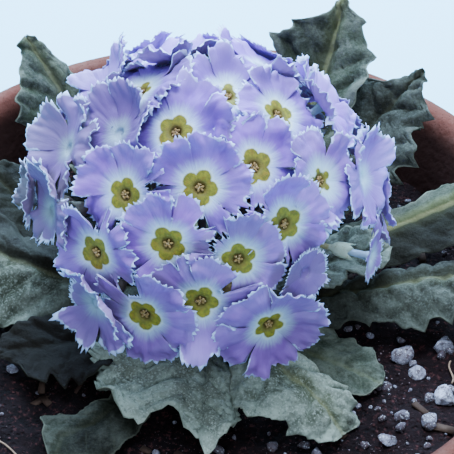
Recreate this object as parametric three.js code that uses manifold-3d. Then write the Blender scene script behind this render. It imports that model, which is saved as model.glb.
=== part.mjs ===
// A primrose in a clay pot: a domed head of five-petalled blooms over a rosette of wavy, toothed leaves.
// Millimetres, +Z up. The origin is on the floor, on the pot's axis, and -Y is the front.
import * as THREE from "three";
import { mergeVertices } from "three/addons/utils/BufferGeometryUtils.js";
import Module from "manifold-3d";

const wasm = await Module();
wasm.setup();

// Clearance between pieces that touch.
const GAP = 0.3;

// Pot: outer sizes, wall and drain hole.
const POT_HEIGHT = 130;
const POT_RIM_RADIUS = 107.5;
const POT_FOOT_RADIUS = 68;
const POT_BAND_HEIGHT = 26;
const POT_BAND_FLARE = 4;
const POT_BAND_STEP = 6;
const POT_BAND_BEVEL = 2;
const POT_FLOOR = 10;
const POT_INNER_FOOT = 60;
const POT_INNER_MOUTH = 97.5;
const POT_LIP = 3;
const POT_SIDES = 32;
const DRAIN_RADIUS = 9;

// Soil and the rootstock that stands in it.
const SOIL_HEIGHT = 105;
const SOIL_RINGS = [22, 40, 58, 76];
const SOIL_SWELL = 0.7;
const SOIL_MOUND = 1;
const SOIL_MOUND_RADIUS = 60;
const CROWN_RADIUS = 10;
const CROWN_TOP = 119;
const CROWN_BOTTOM = 79;
const CROWN_FOOT_RADIUS = 6;
const CROWN_TAPER = 10;
const CROWN_BEVEL = 2;
const CROWN_SIDES = 16;

// Flower head: the eyes of the blooms lie on a dome round its centre, a little wider along X.
const HEAD_HEIGHT = 148;
const HEAD_RADIUS = 48.5;
const HEAD_SIDE_RADIUS = 51;
const BLOOM_NOD = 10;
const FULL_NOD_TILT = 20;
const NOD_FADES_FROM = 60;
const NOD_FADES_TO = 80;

// One bloom.
const PETALS = 5;
const PETAL_REACH = 15;
const PETAL_THICKNESS = 0.7;
const PETAL_CUP = 0.8;
const PETAL_CREASE = 0.35;
const CREASE_HALF_ANGLE = 10;
const THROAT_DEPTH = 0.5;
const EYE_RADIUS = 3.2;
const TUBE_RADIUS = 1.2;
const TUBE_LENGTH = 9;
const NECK_DEPTH = 1;
const CALYX_TOP = 6;
const CALYX_LENGTH = 6;
const CALYX_RADIUS = 2.5;
const CALYX_BORE = 1.6;
const CALYX_LIP = 0.4;

// Flower stalks: a scape, a knob where the pedicels meet, and the pedicels.
const SCAPE_RADIUS = 2.6;
const SCAPE_BASE = 4.2;
const KNOB_RADIUS = 5.2;
const KNOB_OFFSET = 14;
const KNOB_HEIGHT = 144;
const PEDICEL_RADIUS = 0.9;
const PEDICEL_BEND = 9;
const ROOT_SHARE = 0.6;
const PEDICEL_RINGS = [0, 0.55];
const SCAPE_SIDES = 8;
const SCAPE_UPRIGHT = 0.6;
const SCAPE_RINGS = [0, 0.35, 0.7, 1];
const STALK_BEARINGS = [-90, 30, 150];
const STALK_SECTOR = 120;

const X = new THREE.Vector3(1, 0, 0);
const Z = new THREE.Vector3(0, 0, 1);
const HEAD_CENTRE = new THREE.Vector3(0, 0, HEAD_HEIGHT);

const radians = THREE.MathUtils.degToRad;
const mix = THREE.MathUtils.lerp;
const ease = THREE.MathUtils.smoothstep;

// A point on a circle round the axis, by its bearing from +X in degrees.
function around(bearing, radius, height) {
  return new THREE.Vector3(
    radius * Math.cos(radians(bearing)),
    radius * Math.sin(radians(bearing)),
    height,
  );
}

// A small repeatable random number for the grit and the waves of the soil.
function seeded(seed) {
  let state = seed;
  return () => {
    state = (state * 16807) % 2147483647;
    return state / 2147483647;
  };
}

// A closed surface from points and triangles.
function surface(points, triangles) {
  const geometry = new THREE.BufferGeometry();
  geometry.setAttribute("position", new THREE.Float32BufferAttribute(points.flatMap((p) => p.toArray()), 3));
  geometry.setIndex(triangles.flat());
  return geometry;
}

function solid(geometry) {
  const bare = geometry.clone();
  bare.deleteAttribute("normal");
  bare.deleteAttribute("uv");
  const merged = mergeVertices(bare, 1e-3);
  return new wasm.Manifold(
    new wasm.Mesh({
      numProp: 3,
      vertProperties: new Float32Array(merged.attributes.position.array),
      triVerts: new Uint32Array(merged.index.array),
    }),
  );
}

function joined(geometries) {
  const whole = geometries.map(solid).reduce((sum, next) => sum.add(next));
  const mesh = whole.getMesh();
  const geometry = new THREE.BufferGeometry();
  geometry.setAttribute("position", new THREE.BufferAttribute(mesh.vertProperties, 3));
  geometry.setIndex(new THREE.BufferAttribute(mesh.triVerts, 1));
  return geometry;
}

// A profile of [radius, height] points turned round the axis.
function turned(profile, sides) {
  const points = profile.map(([radius, height]) => new THREE.Vector2(radius, height));
  return new THREE.LatheGeometry(points, sides).rotateX(Math.PI / 2);
}

// Rings of points joined into one closed skin, with a fan over each end.
function lofted(rings) {
  const sides = rings[0].length;
  const points = rings.flat();
  const triangles = [];
  for (let ring = 0; ring < rings.length - 1; ring++) {
    for (let side = 0; side < sides; side++) {
      const a = ring * sides + side;
      const b = ring * sides + ((side + 1) % sides);
      triangles.push([a, b, a + sides], [b, b + sides, a + sides]);
    }
  }
  const last = (rings.length - 1) * sides;
  for (let side = 1; side < sides - 1; side++) {
    triangles.push([0, side + 1, side], [last, last + side, last + side + 1]);
  }
  return surface(points, triangles);
}

// A ring of points round a centre, square to an axis, starting along one side of it.
function ringAt(centre, axis, start, radius, sides) {
  const across = new THREE.Vector3().crossVectors(axis, start).normalize();
  const along = new THREE.Vector3().crossVectors(across, axis).normalize();
  return Array.from({ length: sides }, (_, side) => {
    const angle = (2 * Math.PI * side) / sides;
    return centre
      .clone()
      .addScaledVector(along, radius * Math.cos(angle))
      .addScaledVector(across, radius * Math.sin(angle));
  });
}

// Pot: a turned clay wall with a thick band at the rim and a hole in its floor.
function potInnerRadius(height) {
  return mix(POT_INNER_FOOT, POT_INNER_MOUTH, (height - POT_FLOOR) / (POT_HEIGHT - POT_LIP - POT_FLOOR));
}

function potGeometry() {
  const bandFoot = POT_HEIGHT - POT_BAND_HEIGHT;
  return turned(
    [
      [DRAIN_RADIUS, 0],
      [POT_FOOT_RADIUS, 0],
      [POT_RIM_RADIUS - POT_BAND_FLARE - POT_BAND_STEP, bandFoot - POT_BAND_BEVEL],
      [POT_RIM_RADIUS - POT_BAND_FLARE, bandFoot],
      [POT_RIM_RADIUS, POT_HEIGHT - POT_LIP],
      [POT_RIM_RADIUS - POT_LIP, POT_HEIGHT],
      [POT_INNER_MOUTH + POT_LIP, POT_HEIGHT],
      [POT_INNER_MOUTH, POT_HEIGHT - POT_LIP],
      [POT_INNER_FOOT, POT_FLOOR],
      [DRAIN_RADIUS, POT_FLOOR],
      [DRAIN_RADIUS, 0],
    ],
    POT_SIDES,
  );
}

// Soil: a rough top in rings round the plain hole for the rootstock, with grit stones sunk in it.
function soilTop(x, y) {
  const swell = Math.sin(x / 17 + 1) * Math.cos(y / 13) + 0.6 * Math.sin((x + y) / 9);
  const mound = 1 - Math.min(1, Math.hypot(x, y) / SOIL_MOUND_RADIUS);
  return SOIL_HEIGHT + SOIL_SWELL * swell + SOIL_MOUND * mound;
}

function soilBody() {
  const holeRadius = CROWN_RADIUS + GAP;
  const edge = potInnerRadius(SOIL_HEIGHT) - GAP;
  const foot = potInnerRadius(POT_FLOOR) - GAP;
  const circle = (radius, height) =>
    Array.from({ length: POT_SIDES }, (_, side) => {
      const p = around((360 * side) / POT_SIDES, radius, 0);
      return p.setZ(height(p.x, p.y));
    });
  const flat = (height) => () => height;
  return lofted([
    circle(foot, flat(POT_FLOOR + GAP)),
    circle(edge, flat(SOIL_HEIGHT)),
    ...SOIL_RINGS.toReversed().map((radius) => circle(radius, soilTop)),
    circle(holeRadius, soilTop),
    circle(holeRadius, flat(CROWN_BOTTOM - GAP)),
  ]);
}

// Grit stones that lie at the front right, as [x, y, radius].
const FRONT_GRIT = [
  [59, -14, 3.4],
  [72, -11, 3.6],
  [63, -22, 2.6],
  [71, -33, 3.8],
  [58, -41, 2.4],
  [53, -50, 2.6],
  [66, -43, 2.8],
];

// A stone is a crushed ball, its middle a quarter of its radius above the soil.
const GRIT_SEED = 41;
const GRIT_RISE = 0.25;
const GRIT_BREADTH = [0.7, 1];
const GRIT_DEPTH = [0.6, 0.8];

function gritStone(x, y, radius, random) {
  const stone = new THREE.IcosahedronGeometry(radius, 0);
  stone.rotateZ(2 * Math.PI * random()).rotateX(Math.PI * random());
  stone.scale(1, mix(...GRIT_BREADTH, random()), mix(...GRIT_DEPTH, random()));
  return stone.translate(x, y, soilTop(x, y) + GRIT_RISE * radius);
}

// A few more stones lie round the back and the left, one in each stretch of the rim.
const BACK_GRIT = 4;
const BACK_GRIT_FROM = 60;
const BACK_GRIT_STEP = 60;
const BACK_GRIT_STRAY = 0.2;
const BACK_GRIT_PLACE = [66, 80];
const BACK_GRIT_RADIUS = [2, 3.4];

function soilGeometry() {
  const random = seeded(GRIT_SEED);
  const stones = FRONT_GRIT.map(([x, y, radius]) => gritStone(x, y, radius, random));
  for (let n = 0; n < BACK_GRIT; n++) {
    const bearing = BACK_GRIT_FROM + BACK_GRIT_STEP * (n + BACK_GRIT_STRAY * random());
    const spot = around(bearing, mix(...BACK_GRIT_PLACE, random()), 0);
    stones.push(gritStone(spot.x, spot.y, mix(...BACK_GRIT_RADIUS, random()), random));
  }
  return joined([soilBody(), ...stones]);
}

// Crown: the short upright rootstock, which the leaves and stalks stand against.
function crownGeometry() {
  return turned(
    [
      [0, CROWN_BOTTOM],
      [CROWN_FOOT_RADIUS, CROWN_BOTTOM],
      [CROWN_RADIUS, CROWN_BOTTOM + CROWN_TAPER],
      [CROWN_RADIUS, CROWN_TOP - CROWN_BEVEL],
      [CROWN_RADIUS - CROWN_BEVEL, CROWN_TOP],
      [0, CROWN_TOP],
    ],
    CROWN_SIDES,
  );
}

// Blooms, as [name, bearing, tilt, turn, lift, size]: bearing and tilt give the place on the dome,
// turn is the angle of the first petal, lift moves a bloom out from the dome, and size is its share
// of the common petal reach.
const BLOOMS = [
  ["a", -92, 38, -3, 0.8],
  ["b", -128, 46, 24, 0],
  ["c", -59, 34, 15, 0],
  ["d", -56, 55, 16, 0],
  ["e", -104, 57, 50, 0],
  ["f", -77, 62, 18, 0],
  ["g", -91, 76, -6, 0, 1.25],
  ["h", -110, 84, -8, 0, 1.2],
  ["i", -68, 89, -17, 0, 1.2],
  ["j", -131, 68, 0, 0],
  ["k", -128, 87, 30, 0],
  ["l", -118, 20, 20, 0],
  ["m", 170, 22, 10, 0],
  ["n", -156, 32, 40, 0],
  ["o", -14, 8, 8, 0],
  ["p", -14, 26, 30, 0],
  ["q", -31, 50, 0, 0],
  ["r", -158, 68, 20, 0],
  ["s", -172, 51, 50, 0],
  ["t", 152, 43, 5, 0],
  ["u", 112, 27, 60, 0],
  ["v", 51, 31, 25, 0],
  ["w", 17, 46, 48, 0],
  ["x", -8, 65, 12, 0],
  ["y", -18, 91, 40, 0],
  ["z", -52, 75, 8, -1.5],
  ["back_a", 118, 55, 20, 0],
  ["back_b", 88, 52, 45, 0],
  ["back_c", 60, 53, 10, 0],
  ["back_d", 34, 70, 33, 0],
  ["back_e", 10, 88, 5, 0],
  ["back_f", 60, 78, 50, 0],
  ["back_g", 84, 78, 15, 0],
  ["back_h", 108, 79, 40, 0],
  ["back_i", 133, 73, 8, 0],
  ["back_j", 158, 76, 30, 0],
  ["back_k", -178, 80, 55, 0],
].map(([name, bearing, tilt, turn, lift, size = 1]) => ({ name, bearing, tilt, turn, lift, size }));

// Frame of a bloom: its eye, the axis that it faces along, and two directions across its face.
function bloomFrame({ bearing, tilt, turn, lift }) {
  const spoke = around(bearing, Math.sin(radians(tilt)), Math.cos(radians(tilt)));
  const side = new THREE.Vector3().crossVectors(Z, spoke).normalize();
  const radius = mix(HEAD_RADIUS, HEAD_SIDE_RADIUS, spoke.x * spoke.x) + lift;
  const nodShare = Math.min(1, tilt / FULL_NOD_TILT) * (1 - ease(tilt, NOD_FADES_FROM, NOD_FADES_TO));
  const nod = radians(BLOOM_NOD * nodShare);
  const axis = spoke.clone().applyAxisAngle(side, nod);
  const eye = HEAD_CENTRE.clone().addScaledVector(spoke, radius);
  const right = side.clone().applyAxisAngle(axis, radians(turn));
  const up = new THREE.Vector3().crossVectors(axis, right);
  return { eye, axis, right, up };
}

// Half of a petal's toothed edge, from its midline out: [degrees, share of the reach].
const PETAL_EDGE = [
  [0, 0.94],
  [8, 1],
  [16, 0.92],
  [24, 0.97],
  [31, 0.8],
];
const PETAL_SLIT = 0.41;
const PETAL_MIDDLE = 0.62;
const PETAL_MIDDLE_ANGLE = 19;
const BEND_POWER = 1.3;
const HALF_PETAL = 180 / PETALS;

// The flat plan of a bloom. Each point has its place on the face and its two nearest petal corners,
// which carry it up or down, with the share that it takes from each.
function bloomPlan(reaches) {
  const points = [];
  const triangles = [];
  const rim = [];
  const place = (petal, angle, share) => {
    const phi = radians(petal * 2 * HALF_PETAL + angle);
    const beyondSlit = Math.max(0, share - PETAL_SLIT);
    const radius = Math.min(share, PETAL_SLIT) * PETAL_REACH + beyondSlit * reaches[petal];
    const reach = Math.max(0, radius - EYE_RADIUS) / (PETAL_REACH - EYE_RADIUS);
    const right = THREE.MathUtils.clamp(0.5 + angle / (2 * PETAL_MIDDLE_ANGLE), 0, 1);
    const bend = Math.pow(reach, BEND_POWER);
    const corners = [
      [2 * petal, bend * right],
      [2 * petal + 1, bend * (1 - right)],
    ];
    const crease = PETAL_CREASE * reach * (1 - Math.min(1, Math.abs(angle) / CREASE_HALF_ANGLE));
    const x = radius * Math.cos(phi);
    const y = radius * Math.sin(phi);
    points.push({ x, y, rest: PETAL_CUP * reach - crease, corners });
    return points.length - 1;
  };
  const centre = place(0, 0, 0);
  points[centre].rest = -THROAT_DEPTH;
  const eye = [];
  const slit = [];
  for (let petal = 0; petal < PETALS; petal++) {
    eye.push(place(petal, -HALF_PETAL, EYE_RADIUS / PETAL_REACH));
    slit.push(place(petal, -HALF_PETAL, PETAL_SLIT));
    const before = (petal + PETALS - 1) % PETALS;
    const reach = points[slit[petal]].corners[1][1] / 2;
    points[slit[petal]].corners = [
      [2 * petal + 1, reach],
      [2 * before, reach],
    ];
  }
  for (let petal = 0; petal < PETALS; petal++) {
    const next = (petal + 1) % PETALS;
    const low = place(petal, -PETAL_MIDDLE_ANGLE, PETAL_MIDDLE);
    const high = place(petal, PETAL_MIDDLE_ANGLE, PETAL_MIDDLE);
    const left = PETAL_EDGE.toReversed().map(([angle, share]) => place(petal, -angle, share));
    const right = PETAL_EDGE.slice(1).map(([angle, share]) => place(petal, angle, share));
    const lowFan = [slit[petal], ...left];
    const highFan = [left.at(-1), ...right, slit[next]];
    triangles.push([centre, eye[petal], eye[next]]);
    triangles.push([eye[petal], slit[petal], low], [eye[petal], low, high]);
    triangles.push([eye[petal], high, eye[next]], [eye[next], high, slit[next]]);
    triangles.push([left.at(-1), high, low]);
    lowFan.slice(1).forEach((point, n) => triangles.push([lowFan[n], point, low]));
    highFan.slice(1).forEach((point, n) => triangles.push([highFan[n], point, high]));
    rim.push(slit[petal], ...left, ...right);
  }
  return { points, triangles, rim, eye, centre, reach: Math.max(PETAL_REACH, ...reaches) };
}

// Of two neighbours, the one whose face stands higher half way between them lies on top.
function liesOver(one, other) {
  const middle = one.eye.clone().add(other.eye).multiplyScalar(0.5);
  const axis = one.axis.clone().add(other.axis).normalize();
  const heightOf = (bloom) => bloom.eye.clone().sub(middle).dot(bloom.axis) / axis.dot(bloom.axis);
  return heightOf(one) > heightOf(other) ? 1 : -1;
}

// A petal that points at a neighbour's eye stops short of it.
const EYE_SPACE = 3.6;
const SHORTEST_PETAL = 10.5;
const FACING = 0.75;

function petalReach(bloom, petal, neighbours) {
  const angle = radians(2 * HALF_PETAL * petal);
  const ahead = bloom.right.clone().applyAxisAngle(bloom.axis, angle);
  let reach = PETAL_REACH * bloom.size;
  for (const other of neighbours) {
    const away = other.eye.clone().sub(bloom.eye);
    const facing = away.dot(ahead) / away.length();
    if (facing > FACING) {
      reach = Math.min(reach, (away.length() - EYE_SPACE) / facing);
    }
  }
  return Math.max(reach, SHORTEST_PETAL);
}

// Petal corners are bent up or down until the petals of neighbours pass over and under each other.
const PETAL_CLEARANCE = 1.3;
const MOST_BEND = 7;
const BEND_ROUNDS = 120;
const BEND_STEP = 0.5;
const MOST_STEP = 1.5;
const STIFFNESS = 0.08;

// Height of a point of the plan over the bloom's flat face.
function pointHeight(bends, { rest, corners }) {
  return corners.reduce((sum, [corner, share]) => sum + share * bends[corner], rest);
}

// The triangle of a bloom's plan that holds a place on its face, with the shares of its corners.
function placeOnFace({ points, triangles, reach }, x, y) {
  if (Math.hypot(x, y) > reach) {
    return null;
  }
  const turns = Math.atan2(y, x) / (2 * Math.PI);
  const petal = (Math.round(turns * PETALS) + PETALS) % PETALS;
  const count = triangles.length / PETALS;
  for (let n = petal * count; n < (petal + 1) * count; n++) {
    const [a, b, c] = [points[triangles[n][0]], points[triangles[n][1]], points[triangles[n][2]]];
    const area = (b.x - a.x) * (c.y - a.y) - (c.x - a.x) * (b.y - a.y);
    const v = ((x - a.x) * (c.y - a.y) - (c.x - a.x) * (y - a.y)) / area;
    const w = ((b.x - a.x) * (y - a.y) - (x - a.x) * (b.y - a.y)) / area;
    if (v >= 0 && w >= 0 && v + w <= 1) {
      return mixOf([[a, 1 - v - w], [b, v], [c, w]]);
    }
  }
  return null;
}

// A mix of plan points as one point, which the same petal corners carry.
function mixOf(parts) {
  const point = { x: 0, y: 0, rest: 0, corners: [] };
  for (const [{ x, y, rest, corners }, share] of parts) {
    point.x += share * x;
    point.y += share * y;
    point.rest += share * rest;
    for (const [corner, weight] of corners) {
      const known = point.corners.find(([name]) => name === corner);
      if (known) {
        known[1] += share * weight;
      } else {
        point.corners.push([corner, share * weight]);
      }
    }
  }
  return point;
}

// Places where a bloom is tested: every point of its plan and the middle of every edge.
function testPlaces({ points, triangles }) {
  const places = [...points];
  for (const [a, b, c] of triangles) {
    for (const [from, to] of [[a, b], [b, c], [c, a]]) {
      if (from < to) {
        places.push(mixOf([[points[from], 0.5], [points[to], 0.5]]));
      }
    }
  }
  return places;
}

function bendCorners(bends, corners, step) {
  for (const [corner, weight] of corners) {
    bends[corner] = THREE.MathUtils.clamp(bends[corner] + step * weight, -MOST_BEND, MOST_BEND);
  }
}

// One pass over a pair: where the two faces are closer than they may be, both give way.
function easeApart(one, other, over) {
  const spot = new THREE.Vector3();
  for (const mine of one.places) {
    spot.copy(one.eye).addScaledVector(one.right, mine.x).addScaledVector(one.up, mine.y);
    spot.addScaledVector(one.axis, pointHeight(one.bends, mine)).sub(other.eye);
    const theirs = placeOnFace(other.plan, spot.dot(other.right), spot.dot(other.up));
    if (!theirs) {
      continue;
    }
    const short = PETAL_CLEARANCE - over * (spot.dot(other.axis) - pointHeight(other.bends, theirs));
    if (short > 0) {
      const corners = [...mine.corners, ...theirs.corners];
      const give = corners.reduce((sum, [, weight]) => sum + weight * weight, STIFFNESS);
      const step = (over * BEND_STEP * Math.min(short, MOST_STEP)) / give;
      bendCorners(one.bends, mine.corners, step);
      bendCorners(other.bends, theirs.corners, -step);
    }
  }
}

function bendPetals(blooms) {
  const pairs = [];
  for (const one of blooms) {
    const near = blooms.filter((other) => {
      const meet = PETAL_REACH * (one.size + other.size);
      return other !== one && one.eye.distanceTo(other.eye) < meet;
    });
    const reaches = Array.from({ length: PETALS }, (_, petal) => petalReach(one, petal, near));
    one.plan = bloomPlan(reaches);
    one.places = testPlaces(one.plan);
    one.bends = new Array(2 * PETALS).fill(0);
    near.forEach((other) => pairs.push([one, other, liesOver(one, other)]));
  }
  for (let round = 0; round < BEND_ROUNDS; round++) {
    pairs.forEach(([one, other, over]) => easeApart(one, other, over));
  }
}

// A bloom: the plan as an upper and an under face, alike, with the tube under the eye.
function bloomGeometry(bloom) {
  const at = (x, y, z) =>
    bloom.eye
      .clone()
      .addScaledVector(bloom.right, x)
      .addScaledVector(bloom.up, y)
      .addScaledVector(bloom.axis, z);
  const { points, triangles, rim, eye, centre } = bloom.plan;
  const face = (shift) =>
    points.map((point) => at(point.x, point.y, pointHeight(bloom.bends, point) + shift));
  const tube = (depth) =>
    eye.map((index) => {
      const share = TUBE_RADIUS / EYE_RADIUS;
      return at(points[index].x * share, points[index].y * share, -depth);
    });
  const under = points.length;
  const neck = 2 * under;
  const foot = neck + PETALS;
  const end = foot + PETALS;
  const half = PETAL_THICKNESS / 2;
  const all = [...face(half), ...face(-half), ...tube(NECK_DEPTH), ...tube(TUBE_LENGTH)];
  all.push(at(0, 0, -TUBE_LENGTH));
  const faces = [];
  for (const [a, b, c] of triangles) {
    faces.push([a, b, c]);
    if (a !== centre) {
      faces.push([under + a, under + c, under + b]);
    }
  }
  rim.forEach((a, n) => {
    const b = rim[(n + 1) % rim.length];
    faces.push([under + a, under + b, a], [under + b, b, a]);
  });
  for (let petal = 0; petal < PETALS; petal++) {
    const next = (petal + 1) % PETALS;
    const [rimA, rimB] = [under + eye[petal], under + eye[next]];
    faces.push([neck + petal, rimB, rimA], [neck + petal, neck + next, rimB]);
    faces.push([foot + petal, foot + next, neck + petal], [foot + next, neck + next, neck + petal]);
    faces.push([end, foot + next, foot + petal]);
  }
  all[under + centre] = all[neck];
  return surface(all, faces);
}

// A pedicel from its knob, out to a calyx cup that holds the tube of its bloom.
function pedicelGeometry(bloom, knob) {
  const place = (depth) => bloom.eye.clone().addScaledVector(bloom.axis, -depth);
  const corner = bloom.right.clone().applyAxisAngle(bloom.axis, radians(-HALF_PETAL));
  const ring = (depth, radius) => ringAt(place(depth), bloom.axis, corner, radius, PETALS);
  const cupFoot = CALYX_TOP + CALYX_LENGTH;
  const start = knob.clone().add(place(cupFoot).sub(knob).setLength(KNOB_RADIUS * ROOT_SHARE));
  const route = new THREE.QuadraticBezierCurve3(start, place(cupFoot + PEDICEL_BEND), place(cupFoot));
  const stem = PEDICEL_RINGS.map((share) =>
    ringAt(route.getPoint(share), route.getTangent(share), corner, PEDICEL_RADIUS, PETALS),
  );
  return lofted([
    ...stem,
    ring(cupFoot, PEDICEL_RADIUS + CALYX_LIP),
    ring(CALYX_TOP, CALYX_RADIUS),
    ring(CALYX_TOP + CALYX_LIP, CALYX_BORE),
    ring(TUBE_LENGTH + GAP, CALYX_BORE),
  ]);
}

// A stalk: the scape rises from the crown to its knob, which carries the pedicels.
function stalkGeometry(bearing, blooms) {
  const knob = around(bearing, KNOB_OFFSET, KNOB_HEIGHT);
  const foot = around(bearing, SCAPE_BASE, CROWN_TOP + GAP);
  const bend = foot.clone().setZ(mix(foot.z, knob.z, SCAPE_UPRIGHT));
  const route = new THREE.QuadraticBezierCurve3(foot, bend, knob);
  const scape = SCAPE_RINGS.map((share) =>
    ringAt(route.getPoint(share), route.getTangent(share), X, SCAPE_RADIUS, SCAPE_SIDES),
  );
  const ball = new THREE.IcosahedronGeometry(KNOB_RADIUS, 0).translate(...knob.toArray());
  return joined([lofted(scape), ball, ...blooms.map((bloom) => pedicelGeometry(bloom, knob))]);
}

// Leaves, as [name, bearing, length, width, tier, rise, fold, roll, wave]. Sizes are in mm and angles
// in degrees. The tier is the height on the crown, from 0 up. rise is the slope at the foot, the middle
// and the tip, fold lifts both halves from the rib, roll lifts the left half and drops the right one,
// and wave is the edge's ripple as a share of the width.
const LEAVES = [
  ["leaf_01", 126, 97, 32, 2, [4, 22, 44], 18, 0, 0.14],
  ["leaf_02", 63, 104, 36, 2, [4, 26, 48], 16, 0, 0.14],
  ["leaf_03", 43, 94, 34, 1, [6, 26, 36], -6, -6, 0.12],
  ["leaf_04", 25, 86, 28, 0, [10, 14, 9], -18, 2, 0.05],
  ["leaf_05", 1, 86, 36, 1, [9, 12, 8], -40, -6, 0.05],
  ["leaf_06", -54, 58, 36, 2, [14, 2, -46], -12, -6, 0.06],
  ["leaf_07", -101, 50, 40, 1, [9, 1, -9], -3, 0, 0.12],
  ["leaf_08", -131, 55, 32, 0, [1, -1, 0], 0, 0, 0.05],
  ["leaf_09", 168, 86, 42, 2, [4, 12, 2], -24, -16, 0.08],
  ["leaf_10", -158, 56, 28, 1, [0, 0, -4], 2, 0, 0.06],
  ["leaf_11", 144, 78, 28, 0, [2, 10, 18], 10, 0, 0.1],
  ["leaf_12", -30, 50, 24, 0, [2, 4, -8], -6, 0, 0.06],
  ["leaf_13", 9, 48, 22, 2, [18, 16, 8], 6, 0, 0.14],
  ["leaf_14", 95, 88, 38, 1, [2, 22, 20], -8, 0, 0.1],
].map(([name, bearing, length, width, tier, rise, fold, roll, wave]) => ({
  name,
  bearing,
  length,
  width,
  tier,
  rise,
  fold,
  roll,
  wave,
}));
const TIER_HEIGHTS = [108.6, 112.2, 115.8];
const LEAF_FOOT = CROWN_RADIUS + GAP;
const FOOT_WIDTH = 6.4;
const EDGE_STEPS = 16;
const RIB_STEPS = 6;
const EDGE_HALF = 0.45;
const MIDDLE_HALF = 0.6;
const RIB_HALF = 0.95;
const MIDDLE_ROW = 0.55;
const TOOTH_OUT = 0.09;
const TOOTH_IN = -0.1;
const FIRST_TOOTH = 4;
const RIPPLE_PITCH = 17;
const RIPPLE_OFFSET = 2;
const TIP_FROM = 0.66;
const WALK_STEPS = 24;
const WIDENS = [0.1, 0.58];
const OPENS = [0.05, 0.35];
const ROLLS = [0, 0.4];
const THINS = [0, 0.3];

// Half width of a blade at a share of its length: a narrow foot, a broad middle and a round tip.
function leafHalfWidth(leaf, along) {
  const blade = mix(FOOT_WIDTH, leaf.width, ease(along, ...WIDENS)) / 2;
  const toTip = Math.max(0, (along - TIP_FROM) / (1 - TIP_FROM));
  return blade * Math.sqrt(Math.max(0, 1 - toTip * toTip));
}

function leafSlope(leaf, along) {
  const [base, middle, tip] = leaf.rise;
  return along < 0.5 ? mix(base, middle, ease(along, 0, 0.5)) : mix(middle, tip, ease(along, 0.5, 1));
}

// The rib's place and directions at a share of the leaf's length, found by walking along it.
function leafRib(leaf, along) {
  const place = around(leaf.bearing, LEAF_FOOT, TIER_HEIGHTS[leaf.tier]);
  const ahead = new THREE.Vector3();
  for (let n = 0; n <= WALK_STEPS; n++) {
    const share = (along * n) / WALK_STEPS;
    const slope = radians(leafSlope(leaf, share));
    ahead.copy(around(leaf.bearing, Math.cos(slope), Math.sin(slope)));
    if (n > 0) {
      place.addScaledVector(ahead, (along * leaf.length) / WALK_STEPS);
    }
  }
  const left = new THREE.Vector3().crossVectors(Z, ahead).normalize();
  left.applyAxisAngle(ahead, radians(leaf.roll * ease(along, ...ROLLS)));
  const above = new THREE.Vector3().crossVectors(ahead, left);
  return { place, left, above };
}

// A point of the blade: across runs from -1 at the right edge to 1 at the left edge.
function leafPoint(leaf, along, across, tooth) {
  const { place, left, above } = leafRib(leaf, along);
  const half = leafHalfWidth(leaf, along) * (1 + tooth);
  const open = ease(along, ...OPENS);
  const fold = radians(leaf.fold * open);
  const out = half * Math.abs(across);
  const phase = RIPPLE_PITCH * along + (across > 0 ? 0 : RIPPLE_OFFSET);
  const ripple = 0.5 * leaf.wave * leaf.width * across * across * open * Math.sin(phase);
  return place
    .addScaledVector(left, Math.sign(across) * out * Math.cos(fold))
    .addScaledVector(above, out * Math.sin(fold) + ripple);
}

// Two rows of points joined by triangles that keep pace with each other.
function stitched(left, right) {
  const triangles = [];
  let i = 0;
  let j = 0;
  while (i < left.length - 1 || j < right.length - 1) {
    const rightDone = j === right.length - 1;
    const stepLeft = i < left.length - 1 && (rightDone || left[i + 1].along <= right[j + 1].along);
    const corners = [left[i].index, right[j].index, stepLeft ? left[i + 1].index : right[j + 1].index];
    if (new Set(corners).size === 3) {
      triangles.push(corners);
    }
    if (stepLeft) {
      i++;
    } else {
      j++;
    }
  }
  return triangles;
}

// A leaf: a rib, a row along each half and a toothed edge, as two like faces with a thin rim between.
function leafGeometry(leaf) {
  const middle = [];
  const thick = [];
  const add = (along, across, tooth, half) => {
    middle.push(leafPoint(leaf, along, across, tooth));
    thick.push(half);
    return middle.length - 1;
  };
  const tip = { along: 1, index: add(1, 0, 0, EDGE_HALF) };
  const row = (across, steps, half, teeth) => {
    const points = [];
    for (let n = 0; n < steps; n++) {
      const along = n / steps;
      const tooth = teeth && n >= FIRST_TOOTH ? (n % 2 ? TOOTH_OUT : TOOTH_IN) : 0;
      const thickness = mix(RIB_HALF, half, ease(along, ...THINS));
      points.push({ along, index: add(along, across, tooth, thickness) });
    }
    return [...points, tip];
  };
  const leftEdge = row(1, EDGE_STEPS, EDGE_HALF, true);
  const leftHalf = row(MIDDLE_ROW, RIB_STEPS, MIDDLE_HALF, false);
  const rib = row(0, RIB_STEPS, RIB_HALF, false);
  const rightHalf = row(-MIDDLE_ROW, RIB_STEPS, MIDDLE_HALF, false);
  const rightEdge = row(-1, EDGE_STEPS, EDGE_HALF, true);
  const triangles = [
    ...stitched(leftEdge, leftHalf),
    ...stitched(leftHalf, rib),
    ...stitched(rib, rightHalf),
    ...stitched(rightHalf, rightEdge),
  ];
  const outline = [rib[0], rightHalf[0], ...rightEdge, ...leftEdge.slice(0, -1).toReversed(), leftHalf[0]];
  return thickened(middle, thick, triangles, outline.map(({ index }) => index));
}

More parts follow.
